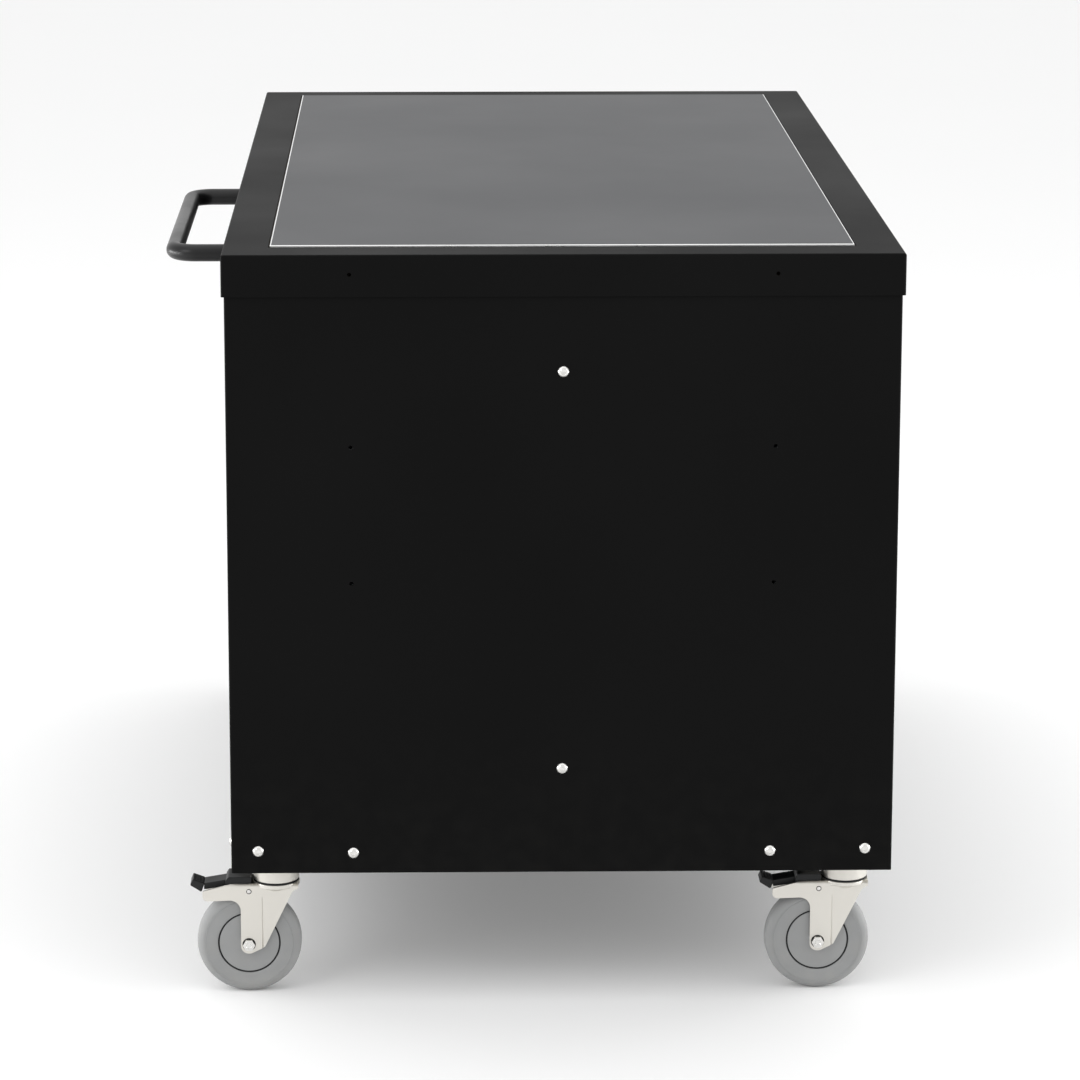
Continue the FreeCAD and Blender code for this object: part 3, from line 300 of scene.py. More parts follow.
class Coats(Enum):
    """Every finish on the chest; each value is its Finish."""

    POWDER = Finish("black_powder_coat", "0e0e0e", 0.50, specular=0.04, tone_spread=0.12,
                    tone_scale=3.0, grain_scale=1100, grain_rise=0.03, dust=0.01,
                    dust_reach=0.35)
    HANDLE = Finish("black_handle_coat", "101011", 0.36, specular=0.35, tone_spread=0.05,
                    grain_scale=1500, grain_rise=0.012)
    INSET = Finish("satin_inset", "4a4b4d", 0.5, rough_swing=0.05, metal=0.15, specular=0.2,
                   tone_spread=0.03, tone_scale=2.2, grain_scale=260, grain_rise=0.012,
                   stretch=(0.08, 1.0, 1.0))
    BARE = Finish("bare_plate_edge", "f4f4f3", 0.30, metal=0.9, tone_spread=0.02,
                  grain_scale=700, grain_rise=0.006)
    BOARD = Finish("pressed_board", "2c2620", 0.85, tone_spread=0.16, tone_scale=60,
                   grain_scale=420, grain_rise=0.12, specular=0.2)
    ZINC = Finish("bright_zinc", "d4d1ca", 0.36, rough_swing=0.06, metal=0.85, tone_spread=0.025,
                  tone_scale=16, grain_scale=650, grain_rise=0.010, dust=0.04, dust_reach=0.16)
    RACK = Finish("grey_enamel", "55585a", 0.42, tone_spread=0.05, grain_scale=800)
    SCREW = Finish("bright_screw", "dcdbd8", 0.20, rough_swing=0.05, metal=1.0, tone_spread=0.04,
                   tone_scale=180, grain_scale=1600, grain_rise=0.006)
    ALLOY = Finish("brushed_alloy", "b4b7ba", 0.36, metal=1.0, tone_spread=0.04, grain_scale=420,
                   grain_rise=0.01, stretch=(0.03, 1.0, 1.0))
    CHROME = Finish("lock_chrome", "dfe1e3", 0.12, rough_swing=0.04, metal=1.0, tone_spread=0.03,
                    grain_scale=900, grain_rise=0.004)
    HUB = Finish("hub_plastic", "8a8b8b", 0.48, tone_spread=0.04, tone_scale=30, grain_scale=900,
                 grain_rise=0.02, dust=0.12, dust_reach=0.13)
    TREAD = Finish("grey_tread", "8b8c8c", 0.58, tone_spread=0.05, tone_scale=26,
                   grain_scale=700, grain_rise=0.04, dust=0.2, dust_reach=0.13, specular=0.4)
    PEDAL = Finish("pedal_black", "161718", 0.48, tone_spread=0.08, tone_scale=40,
                   grain_scale=1200, grain_rise=0.03, specular=0.3)
    # dark fill for painted shade in the caster's gaps and the lock's key slot
    SHADE_FILL = Finish("painted_shade_fill", "161718", 0.7, tone_spread=0.10, tone_scale=50, grain_scale=900,
                  grain_rise=0.04, specular=0.3)
    LINER = Finish("drawer_liner", "1d1e20", 0.82, tone_spread=0.10, tone_scale=14,
                   grain_scale=500, grain_rise=0.08, specular=0.25)
    FLOOR = Finish("studio_floor", "f6f6f6", 0.7, tone_spread=0.002, tone_scale=0.8,
                   grain_scale=200, grain_rise=0.01, specular=0.1)


# ---------------------------------------------------------------- shaping
def arc(centre: Point, radius: float, start: float, end: float, steps: int = 8) -> list[Point]:
    """Points on an arc.

    Args:
        centre: The arc's centre.
        radius: Its radius.
        start: First angle in degrees.
        end: Last angle in degrees.
        steps: How many chords it has.

    Returns:
        The points from start to end, both included.
    """
    turns = [math.radians(start + (end - start) * step / steps) for step in range(steps + 1)]
    return [(centre[0] + radius * math.cos(turn), centre[1] + radius * math.sin(turn))
            for turn in turns]


def band(inner: float, outer: float, low: float, high: float) -> list[Point]:
    """Draw the section of a plain ring, as (radius, distance along the axis)."""
    return [(inner, low), (outer, low), (outer, high), (inner, high)]


def mirrored(face: list[Point]) -> list[Point]:
    """Carry a profile on with its mirror image on the other side of the middle."""
    return [*face, *((radius, -along) for radius, along in reversed(face))]


class Shape:
    """A mesh being shaped, in millimetres."""

    AXES = {
        "x": Matrix(((0, 0, 1), (1, 0, 0), (0, 1, 0))).to_4x4(),
        "y": Matrix(((0, 1, 0), (0, 0, 1), (1, 0, 0))).to_4x4(),
        "z": Matrix.Identity(4),
    }

    def __init__(self) -> None:
        """Start empty."""
        self.mesh = bmesh.new()

    def block(self, low: Sequence[float], high: Sequence[float]) -> "Shape":
        """Add a box between two corners."""
        size = [top - bottom for bottom, top in zip(low, high)]
        middle = [(top + bottom) / 2 for bottom, top in zip(low, high)]
        bmesh.ops.create_cube(
            self.mesh, size=1.0,
            matrix=Matrix.Translation(middle) @ Matrix.Diagonal((*size, 1.0)))
        return self

    def turned(self, profile: Iterable[Point], axis: str = "z",
               centre: Sequence[float] = (0, 0, 0), steps: int = 48,
               closed: bool = False) -> "Shape":
        """Add a lathe-turned form.

        Args:
            profile: Points as (radius, distance along the axis).
            axis: The axis that it turns round.
            centre: Where the axis and the distance zero are.
            steps: Facets round the full turn.
            closed: Whether the last point joins the first, as in a ring.

        Returns:
            This shape.
        """
        made = bmesh.new()
        points = [made.verts.new((radius, 0, along)) for radius, along in profile]
        pairs = list(zip(points, points[1:])) + ([(points[-1], points[0])] if closed else [])
        edges = [made.edges.new(pair) for pair in pairs]
        bmesh.ops.spin(made, geom=points + edges, cent=(0, 0, 0), axis=(0, 0, 1), dvec=(0, 0, 0),
                       angle=FULL_TURN, steps=steps, use_merge=True, use_duplicate=False)
        bmesh.ops.remove_doubles(made, verts=made.verts, dist=1e-4)
        bmesh.ops.recalc_face_normals(made, faces=made.faces)
        return self.take(made, Matrix.Translation(centre) @ self.AXES[axis])

    def prism(self, corners: Iterable[Corner], axis: str, low: float, high: float,
              steps: int = 6) -> "Shape":
        """Add an outline raised along an axis, with each corner rounded to its own radius.

        Args:
            corners: Each corner as (first, second, radius) across the axis, in the order that
                the axis turns: y, z for x, then z, x for y, then x, y for z.
            axis: The axis it is raised along.
            low: Where it starts.
            high: Where it ends.
            steps: Facets on each rounded corner.

        Returns:
            This shape.
        """
        made = bmesh.new()
        places = list(corners)
        face = made.faces.new([made.verts.new((first, second, low))
                               for first, second, _ in places])
        raised = bmesh.ops.extrude_face_region(made, geom=[face])["geom"]
        tops = [item for item in raised if isinstance(item, bmesh.types.BMVert)]
        bmesh.ops.translate(made, verts=tops, vec=(0, 0, high - low))
        bmesh.ops.recalc_face_normals(made, faces=made.faces)
        middle = (low + high) / 2
        for first, second, radius in places:
            spot = Vector((first, second, middle))
            if radius > 0:
                self.round_upright(made, spot, radius, steps)
        return self.take(made, self.AXES[axis])

    @staticmethod
    def round_upright(made: bmesh.types.BMesh, spot: Vector, radius: float, steps: int) -> None:
        """Round the upright edge whose middle is at a spot."""
        edge = min(made.edges, key=lambda item: ((item.verts[0].co + item.verts[1].co) / 2
                                                 - spot).length)
        reach = radius * math.tan(edge.calc_face_angle() / 2)
        bmesh.ops.bevel(made, geom=[edge], offset=reach, offset_type="OFFSET", affect="EDGES",
                        segments=steps, profile=0.5, material=-1, clamp_overlap=True)

    def take(self, made: bmesh.types.BMesh, where: Matrix | None = None) -> "Shape":
        """Move another mesh into this one, placed by a matrix."""
        holder = bpy.data.meshes.new("held")
        if where is not None:
            bmesh.ops.transform(made, matrix=where, verts=made.verts)
        made.to_mesh(holder)
        self.mesh.from_mesh(holder)
        made.free()
        bpy.data.meshes.remove(holder)
        return self

    def copied(self, places: Iterable[Matrix]) -> "Shape":
        """Repeat everything made so far at each place, in place of the first."""
        whole = Shape()
        for place in places:
            whole.take(self.mesh.copy(), place)
        self.mesh.free()
        self.mesh = whole.mesh
        return self

    def soften(self, reach: float, steps: int = 2, angle: float = 32.0) -> "Shape":
        """Round every edge that is sharper than an angle in degrees.

        Args:
            reach: Width of the rounding.
            steps: Facets across it.
            angle: Least angle between the faces.

        Returns:
            This shape.
        """
        least = math.radians(angle)
        sharp = [edge for edge in self.mesh.edges
                 if edge.is_manifold and edge.calc_face_angle(0.0) > least]
        bmesh.ops.bevel(self.mesh, geom=sharp, offset=reach, offset_type="OFFSET",
                        affect="EDGES", segments=steps, profile=0.5, material=-1,
                        clamp_overlap=True)
        return self

    def clone(self) -> "Shape":
        """Give a copy of this shape."""
        twin = Shape()
        twin.mesh.free()
        twin.mesh = self.mesh.copy()
        return twin

    def moved(self, where: Matrix) -> "Shape":
        """Place everything made so far by a matrix."""
        bmesh.ops.transform(self.mesh, matrix=where, verts=self.mesh.verts)
        return self

    def to_object(self, name: str, smooth: float = 35.0) -> bpy.types.Object:
        """Turn the shape into an object in metres, with its place in its mesh.

        Args:
            name: The piece's name.
            smooth: Angle in degrees above which an edge stays crisp.

        Returns:
            The new object.
        """
        data = bpy.data.meshes.new(name)
        bmesh.ops.scale(self.mesh, vec=(MM, MM, MM), verts=self.mesh.verts)
        bmesh.ops.recalc_face_normals(self.mesh, faces=self.mesh.faces)
        self.mesh.to_mesh(data)
        self.mesh.free()
        data.shade_smooth()
        data.set_sharp_from_angle(angle=math.radians(smooth))
        piece = bpy.data.objects.new(name, data)
        bpy.context.scene.collection.objects.link(piece)
        return piece

    def finish(self, name: str, body: str, coat: Coats, slot: str = "",
               stands_for: Sequence[str] = (), smooth: float = 35.0) -> bpy.types.Object:
        """Make the piece, dress it and let it ride on its body.

        Args:
            name: The piece's name.
            body: The frame body it moves with.
            coat: Its finish.
            slot: Name of the record's material slot for the piece, if there is one; not used.
            stands_for: Frame nodes that it replaces.
            smooth: Angle in degrees above which an edge stays crisp.

        Returns:
            The new piece.
        """
        piece = self.to_object(name, smooth)
        evened = piece.modifiers.new("even_normals", "WEIGHTED_NORMAL")
        evened.keep_sharp = True
        piece.data.materials.append(coat.value.material())
        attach(piece, body)
        if stands_for:
            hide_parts(*stands_for)
        LOG.info("piece %s rides on %s in %s", name, body, coat.value.name)
        return piece


def cut_shape(keep: Shape, tool: Shape, operation: str) -> Shape:
    """Cut one shape by another with an exact boolean.

    Args:
        keep: The shape that is cut.
        tool: The shape that cuts it.
        operation: INTERSECT or DIFFERENCE.

    Returns:
        The cut shape.
    """
    work = keep.to_object("cut_work")
    cutter = tool.to_object("cut_tool")
    step = work.modifiers.new("cut", "BOOLEAN")
    step.operation = operation
    step.solver = "EXACT"
    step.object = cutter
    bpy.context.view_layer.update()
    done = work.evaluated_get(bpy.context.evaluated_depsgraph_get())
    result = Shape()
    result.mesh.from_mesh(done.to_mesh())
    done.to_mesh_clear()
    for piece in (work, cutter):
        data = piece.data
        bpy.data.objects.remove(piece)
        bpy.data.meshes.remove(data)
    result.moved(Matrix.Scale(1 / MM, 4))
    bmesh.ops.remove_doubles(result.mesh, verts=result.mesh.verts, dist=1e-3)
    return result


# ---------------------------------------------------------------- studio
@dataclass(frozen=True)
class Lamp:
    """Rectangular lamp that faces the chest and stays out of the picture.

    Attributes:
        name: The lamp's name.
        place: Where it hangs, in metres.
        size: Its width and height in metres.
        power: Its power in watts.
        aim_up: Height in metres of the point that it faces.
    """

    name: str
    place: tuple[float, float, float]
    size: Point
    power: float
    aim_up: float

    def hang(self) -> None:
        """Hang the lamp and turn it to the chest."""
        data = bpy.data.lights.new(self.name, "AREA")
        data.shape = "RECTANGLE"
        data.size, data.size_y = self.size
        data.energy = self.power
        lamp = bpy.data.objects.new(self.name, data)
        lamp.location = self.place
        aim = Vector((0.0, 0.0, self.aim_up)) - Vector(self.place)
        lamp.rotation_euler = aim.to_track_quat("-Z", "Y").to_euler()
        lamp.visible_camera = False
        bpy.context.scene.collection.objects.link(lamp)


LAMPS = (
    Lamp("overhead_lamp", (0.0, 0.0, 4.2), (4.5, 4.5), 30.0, 0.45),
    Lamp("left_lamp", (-3.4, 3.6, 3.2), (2.4, 2.4), 44.0, 0.45),
    Lamp("right_lamp", (-2.6, -4.0, 2.8), (2.4, 2.4), 12.0, 0.45),
    Lamp("low_handle_lamp", (0.0, 3.2, 0.5), (3.4, 0.7), 62.0, 0.05),
    Lamp("low_drawer_lamp", (0.0, -3.2, 0.5), (3.4, 0.7), 62.0, 0.05),
)


@dataclass
class Studio:
    """Floor, light and camera.

    Attributes:
        floor_radius: Radius of the round floor in metres.
        eye: Where the camera stands, in metres.
        pitch: Degrees that it looks down.
        turn: Degrees that it looks to the right of the chest's long axis.
        lens: Focal length in millimetres.
        shift: Sideways and upward shift of the film, as a share of its width.
    """

    floor_radius: float = 45.0
    eye: tuple[float, float, float] = (-5.3474, 0.1204, 1.7100)
    pitch: float = 11.872
    turn: float = 0.987
    lens: float = 136.55
    shift: tuple[float, float] = (0.04, -0.13)

    def build(self) -> None:
        """Set the whole studio."""
        self.lay_floor()
        self.light_room()
        self.set_camera()
        bpy.context.scene.view_settings.view_transform = "Standard"

    def lay_floor(self) -> None:
        """Lay a plain pale round floor just under the wheels."""
        disc = Shape()
        bmesh.ops.create_circle(disc.mesh, cap_ends=True, segments=96,
                                radius=self.floor_radius / MM)
        floor = disc.to_object("studio_floor")
        floor.data.materials.append(Coats.FLOOR.value.material())

    def light_room(self) -> None:
        """Fill the room with even light and hang the broad soft lamps."""
        world = bpy.data.worlds.new("studio_world")
        world.use_nodes = True
        backing = world.node_tree.nodes["Background"]
        backing.inputs["Color"].default_value = (1.0, 1.0, 1.0, 1.0)
        backing.inputs["Strength"].default_value = 1.0
        bpy.context.scene.world = world
        for lamp in LAMPS:
            lamp.hang()

    def set_camera(self) -> None:
        """Stand the camera beyond the left end, looking along the chest."""
        data = bpy.data.cameras.new("studio_camera")
        data.lens = self.lens
        data.shift_x, data.shift_y = self.shift
        camera = bpy.data.objects.new("studio_camera", data)
        camera.location = self.eye
        camera.rotation_euler = (math.radians(90 - self.pitch), 0.0,
                                 math.radians(-90 - self.turn))
        bpy.context.scene.collection.objects.link(camera)
        bpy.context.scene.camera = camera


# ---------------------------------------------------------------- frame nodes
class FrameDress:
    """Gives every frame node that stays in view its finish."""

    COATS = {
        "top_core": Coats.BOARD, "top_plate": Coats.INSET, "push_handle": Coats.HANDLE,
        "left_slide_rack": Coats.RACK, "right_slide_rack": Coats.RACK,
        "fixed_slides": Coats.ZINC, "button_screws": Coats.SCREW, "caster_bolts": Coats.ZINC,
        "lock_barrel": Coats.CHROME,
    }
    ENDINGS = {
        "_slides": Coats.ZINC, "_pull": Coats.ALLOY, "_mount": Coats.ZINC, "_fork": Coats.ZINC,
        "_axle": Coats.ZINC, "_pedal": Coats.PEDAL, "_hub": Coats.HUB, "_tread": Coats.TREAD,
    }

    def coat_of(self, node: str) -> Coats:
        """Choose a node's finish by its name; sheet metal is powder coated."""
        if node in self.COATS:
            return self.COATS[node]
        endings = [coat for ending, coat in self.ENDINGS.items() if node.endswith(ending)]
        return endings[0] if endings else Coats.POWDER

    def build(self) -> None:
        """Dress every node."""
        for name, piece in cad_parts.items():
            coat = self.coat_of(name)
            piece.data.materials.clear()
            piece.data.materials.append(coat.value.material())
            LOG.info("node %s in %s", name, coat.value.name)


# ---------------------------------------------------------------- fasteners
@dataclass
class ButtonScrews:
    """Domed socket screws on both ends, the rear corners and inside behind the handle.

    Attributes:
        head: Head diameter.
        rise: Height of the dome.
        socket: Width of the hexagon socket across its flats.
        socket_deep: Depth of the socket.
        rim: Height of the head's straight edge.
    """

    head: float = 14.0
    rise: float = 4.4
    socket: float = 5.0
    socket_deep: float = 2.6
    rim: float = 0.5

    def one(self) -> Shape:
        """Shape one head, standing on Z = 0."""
        radius = self.head / 2
        tall = self.rise - self.rim
        ball = (radius ** 2 + tall ** 2) / (2 * tall)
        low = self.rise - ball
        mouth = self.socket / 2 / math.cos(HEX_TURN / 2) + 0.3
        start = math.degrees(math.asin((self.rim - low) / ball))
        end = math.degrees(math.acos(mouth / ball))
        dome = arc((0.0, low), ball, start, end, 9)
        floor = self.rise - self.socket_deep
        well = [(mouth - 0.3, dome[-1][1] - 0.25), (mouth - 0.3, floor), (0.0, floor - 0.6)]
        head = Shape().turned([(0.0, 0.0), (radius, 0.0), (radius, self.rim), *dome[1:], *well],
                              steps=36)
        self.flatten_well(head, mouth)
        return head

    def flatten_well(self, head: Shape, mouth: float) -> None:
        """Press the round well into a hexagon.

        Args:
            head: The turned head.
            mouth: Radius of the well's mouth.
        """
        for vert in head.mesh.verts:
            radius = math.hypot(vert.co.x, vert.co.y)
            inside = 0.5 < radius < mouth - 0.1 and vert.co.z > self.rim
            if inside:
                turn = math.degrees(math.atan2(vert.co.y, vert.co.x)) % 60 - 30
                wanted = self.socket / 2 / math.cos(math.radians(turn))
                vert.co.x *= wanted / radius
                vert.co.y *= wanted / radius

    def spots(self) -> list[Matrix]:
        """Work out each head's place from the frame's screws.

        Returns:
            One matrix for each screw, its Z axis out of the sheet.
        """
        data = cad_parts["button_screws"].data
        held = bmesh.new()
        held.from_mesh(data)
        bmesh.ops.remove_doubles(held, verts=held.verts, dist=1e-6)
        places = [self.seat(island) for island in islands(held)]
        held.free()
        return places

    def seat(self, points: list[Vector]) -> Matrix:
        """Find where one screw's head sits on its sheet.

        Args:
            points: The screw's points in metres.

        Returns:
            The head's matrix in millimetres.
        """
        low = Vector([min(point[axis] for point in points) for axis in range(3)]) / MM
        high = Vector([max(point[axis] for point in points) for axis in range(3)]) / MM
        size = high - low
        axis = max(range(3), key=lambda number: abs(size[number] - self.head))
        heads = [point / MM for point in points
                 if self.from_axis(point / MM, (low + high) / 2, axis) > self.head / 2 - 0.05]
        base = sum(point[axis] for point in heads) / len(heads)
        outward = 1 if base - low[axis] > high[axis] - base else -1
        centre = (low + high) / 2
        centre[axis] = base
        way = Vector((0, 0, 0))
        way[axis] = outward
        return Matrix.Translation(centre) @ way.to_track_quat("Z", "Y").to_matrix().to_4x4()

    @staticmethod
    def from_axis(point: Vector, centre: Vector, axis: int) -> float:
        """Distance of a point from a line along an axis through a centre."""
        gap = point - centre
        gap[axis] = 0.0
        return gap.length

    def build(self) -> None:
        """Make every head as one piece."""
        self.one().copied(self.spots()).finish(
            "button_screw_heads", "root", Coats.SCREW, "bright_screw", ["button_screws"])


def islands(held: bmesh.types.BMesh) -> list[list[Vector]]:
    """Split a mesh into its loose parts.

    Args:
        held: The mesh.

    Returns:
        The points of each loose part.
    """
    left = set(held.verts)
    found = []
    while left:
        queue = [left.pop()]
        points = []
        while queue:
            vert = queue.pop()
            points.append(vert.co.copy())
            fresh = {edge.other_vert(vert) for edge in vert.link_edges} & left
            left -= fresh
            queue.extend(fresh)
        found.append(points)
    return found


# ---------------------------------------------------------------- push handle
@dataclass
class PushHandle:
    """Tube bent into a U, with a collar where each leg meets the rear panel.

    Attributes:
        tube: Tube diameter.
        bend: Radius of the bends at the tube's middle.
        collar: Collar diameter.
        collar_thick: How far a collar stands off the panel.
    """

    tube: float = 22.0
    bend: float = 28.0
    collar: float = 36.0
    collar_thick: float = 3.0

    def build(self) -> None:
        """Bend the tube and set its collars."""
        low, high = node_box("push_handle")
        level = (low.z + high.z) / 2
        leg = high.x - self.tube / 2
        far = high.y - self.tube / 2
        panel = node_box("rear_panel")[1].y
        self.bent_tube(leg, low.y, far, level).finish(
            "handle_tube", "root", Coats.HANDLE, "black_powder_coat", ["push_handle"])
        for word, side in (("left", -1), ("right", 1)):
            self.collar_shape((side * leg, panel, level)).finish(
                f"handle_collar_{word}", "root", Coats.PEDAL, "pedal_black")

    def bent_tube(self, leg: float, start: float, far: float, level: float) -> Shape:
        """Sweep the tube's circle out, round a bend, across, round a bend and back.

        Args:
            leg: Sideways place of each leg's middle.
            start: Where the legs begin.
            far: Where the grip's middle runs.
            level: Height of the tube's middle.

        Returns:
            The bent tube.
        """
        tube = Shape()
        corner = far - self.bend
        turn = Matrix.Translation((-leg, start, level)) @ Matrix.Rotation(math.radians(-90), 4, "X")
        ring = bmesh.ops.create_circle(tube.mesh, cap_ends=False, segments=32,
                                       radius=self.tube / 2, matrix=turn)["verts"]
        ring = self.run(tube, ring, (0, corner - start, 0))
        ring = self.elbow(tube, ring, (self.bend - leg, corner, level))
        ring = self.run(tube, ring, (2 * (leg - self.bend), 0, 0))
        ring = self.elbow(tube, ring, (leg - self.bend, corner, level))
        self.run(tube, ring, (0, start - corner, 0))
        open_ends = [edge for edge in tube.mesh.edges if edge.is_boundary]
        bmesh.ops.holes_fill(tube.mesh, edges=open_ends, sides=0)
        return tube

    @staticmethod
    def edges_between(ring: list[bmesh.types.BMVert]) -> list[bmesh.types.BMEdge]:
        """Edges that join two points of a ring."""
        inside = set(ring)
        return list({edge for vert in ring for edge in vert.link_edges
                     if edge.other_vert(vert) in inside})

    def run(self, tube: Shape, ring: list[bmesh.types.BMVert],
            way: tuple[float, float, float]) -> list[bmesh.types.BMVert]:
        """Draw the tube out straight.

        Args:
            tube: The tube.
            ring: The points at its end.
            way: How far the end moves.

        Returns:
            The points at its new end.
        """
        drawn = bmesh.ops.extrude_edge_only(tube.mesh, edges=self.edges_between(ring))["geom"]
        fresh = [item for item in drawn if isinstance(item, bmesh.types.BMVert)]
        bmesh.ops.translate(tube.mesh, verts=fresh, vec=way)
        return fresh

    def elbow(self, tube: Shape, ring: list[bmesh.types.BMVert],
              centre: tuple[float, float, float]) -> list[bmesh.types.BMVert]:
        """Take the tube a quarter turn round an upright axis.

        Args:
            tube: The tube.
            ring: The points at its end.
            centre: Where the axis stands.

        Returns:
            The points at its new end.
        """
        geometry = list(ring) + self.edges_between(ring)
        last = bmesh.ops.spin(tube.mesh, geom=geometry, cent=centre, axis=(0, 0, -1),
                              dvec=(0, 0, 0), angle=math.pi / 2, steps=12,
                              use_merge=False)["geom_last"]
        return [item for item in last if isinstance(item, bmesh.types.BMVert)]

    def collar_shape(self, centre: tuple[float, float, float]) -> Shape:
        """Turn one collar.

        Args:
            centre: The middle of its seat on the panel.

        Returns:
            The collar.
        """
        bore = self.tube / 2 + 0.1
        edge = self.collar / 2
        profile = [(bore, 0.0), (edge, 0.0), (edge, 1.0), (edge - 2.5, self.collar_thick - 0.4),
                   (edge - 4.0, self.collar_thick), (bore, self.collar_thick)]
        return Shape().turned(profile, "y", centre, closed=True)


# ---------------------------------------------------------------- top
@dataclass
class InsetPlate:
    """Satin plate let into the top, with a bright bare edge.

    Attributes:
        field_in: How far the satin field stops short of the edge.
        field_thick: How far the field stands above the bare metal.
        edge_round: Rounding of the edge.
    """

    field_in: float = 1.6
    field_thick: float = 0.15
    edge_round: float = 0.9

    def build(self) -> None:
        """Make the bare plate and the satin field on it."""
        low, high = node_box("top_plate")
        top = high.z - self.field_thick
        Shape().block(low, (high.x, high.y, top)).soften(self.edge_round, 3).finish(
            "inset_plate_edge", "root", Coats.BARE, "satin_plate", ["top_plate"])
        inner = Vector((self.field_in, self.field_in, 0.0))
        field_low = Vector((low.x, low.y, top - self.field_thick)) + inner
        Shape().block(field_low, high - inner).finish(
            "inset_plate_field", "root", Coats.INSET, "satin_plate")


# ---------------------------------------------------------------- drawers
@dataclass
class DrawerFittings:
    """What a drawer carries besides its tray: liner, pull end caps and slide levers.

    Attributes:
        name: The drawer's frame name.
        front_thick: Thickness of the drawer's front.
        sheet: Thickness of the tray's sheet.
        tray_lift: Height of the tray's underside above the front's lower edge.
        slide_cover: Width of the inner slide, which reaches to the tray's side.
        liner_gap: Space round the liner.
        liner_thick: Thickness of the liner's sheet.
        rib_pitch: Distance between the liner's ribs.
        rib_wide: Width of a rib.
        rib_rise: Height of a rib.
        cap_thick: Thickness of a pull's end cap.
        lever_long: Length of a slide's release lever.
        lever_back: Distance of a lever behind the slide's front end.
        lever_thick: Thickness of a lever.
    """

    name: str
    front_thick: float = 20.0
    sheet: float = 1.2
    tray_lift: float = 10.0
    slide_cover: float = 9.1
    liner_gap: float = 2.0
    liner_thick: float = 1.6
    rib_pitch: float = 12.0
    rib_wide: float = 4.0
    rib_rise: float = 0.9
    cap_thick: float = 1.6
    lever_long: float = 96.0
    lever_back: float = 60.0
    lever_thick: float = 2.0

    def build(self) -> None:
        """Make every fitting of this drawer."""
        self.lay_liner()
        self.cap_pull()
        self.hang_levers()

    def inside(self) -> tuple[Vector, Vector]:
        """Work out the tray's floor.

        Returns:
            Two corners of the floor, both at its height.
        """
        low, high = node_box(f"{self.name}_tray")
        slides_low, slides_high = node_box(f"{self.name}_inner_slides")
        side = self.slide_cover + self.sheet + self.liner_gap
        floor = low.z + self.tray_lift + self.sheet
        return (Vector((slides_low.x + side, low.y + self.front_thick + self.liner_gap, floor)),
                Vector((slides_high.x - side, high.y - self.sheet - self.liner_gap, floor)))

    def lay_liner(self) -> None:
        """Lay a ribbed liner on the tray's floor."""
        low, high = self.inside()
        top = low.z + self.liner_thick
        liner = Shape().block(low, (high.x, high.y, top))
        count = int((high.x - low.x) / self.rib_pitch)
        start = (low.x + high.x - (count - 1) * self.rib_pitch) / 2
        rib = Shape().block((-self.rib_wide / 2, low.y, top - 0.2),
                            (self.rib_wide / 2, high.y, top + self.rib_rise))
        rib.soften(0.4, 1)
        rib.copied(Matrix.Translation((start + number * self.rib_pitch, 0, 0))
                   for number in range(count))
        liner.take(rib.mesh)
        liner.finish(f"{self.name}_liner", self.name, Coats.LINER)

    def cap_pull(self) -> None:
        """Close the pull's two ends with plastic caps."""
        low, high = node_box(f"{self.name}_pull")
        corners = [(high.y - 3.0, low.z, 1.0), (high.y - 3.0, low.z + 7.0, 4.0),
                   (low.y + 6.0, high.z - 12.0, 3.0), (low.y, high.z - 12.0, 1.0),
                   (low.y, high.z, 2.0), (high.y, high.z, 0.0), (high.y, low.z, 0.0)]
        for word, start in (("left", low.x + 0.1), ("right", high.x - self.cap_thick - 0.1)):
            cap = Shape().prism(corners, "x", start, start + self.cap_thick)
            cap.finish(f"{self.name}_pull_cap_{word}", self.name, Coats.PEDAL, "pedal_black")

    def hang_levers(self) -> None:
        """Set a release lever inside each inner slide, near its front."""
        low, high = node_box(f"{self.name}_inner_slides")
        level = (low.z + high.z) / 2
        start = low.y + self.lever_back
        corners = [(start, level - 5.0, 2.0), (start + self.lever_long, level - 3.0, 2.0),
                   (start + self.lever_long, level + 3.0, 2.0), (start + 40.0, level + 4.0, 8.0),
                   (start, level + 9.0, 3.0)]
        for word, from_x in (("left", low.x + 1.0), ("right", high.x - 3.0)):
            lever = Shape().prism(corners, "x", from_x, from_x + self.lever_thick)
            lever.soften(0.4).finish(
                f"{self.name}_slide_lever_{word}", self.name, Coats.PEDAL, "pedal_black")


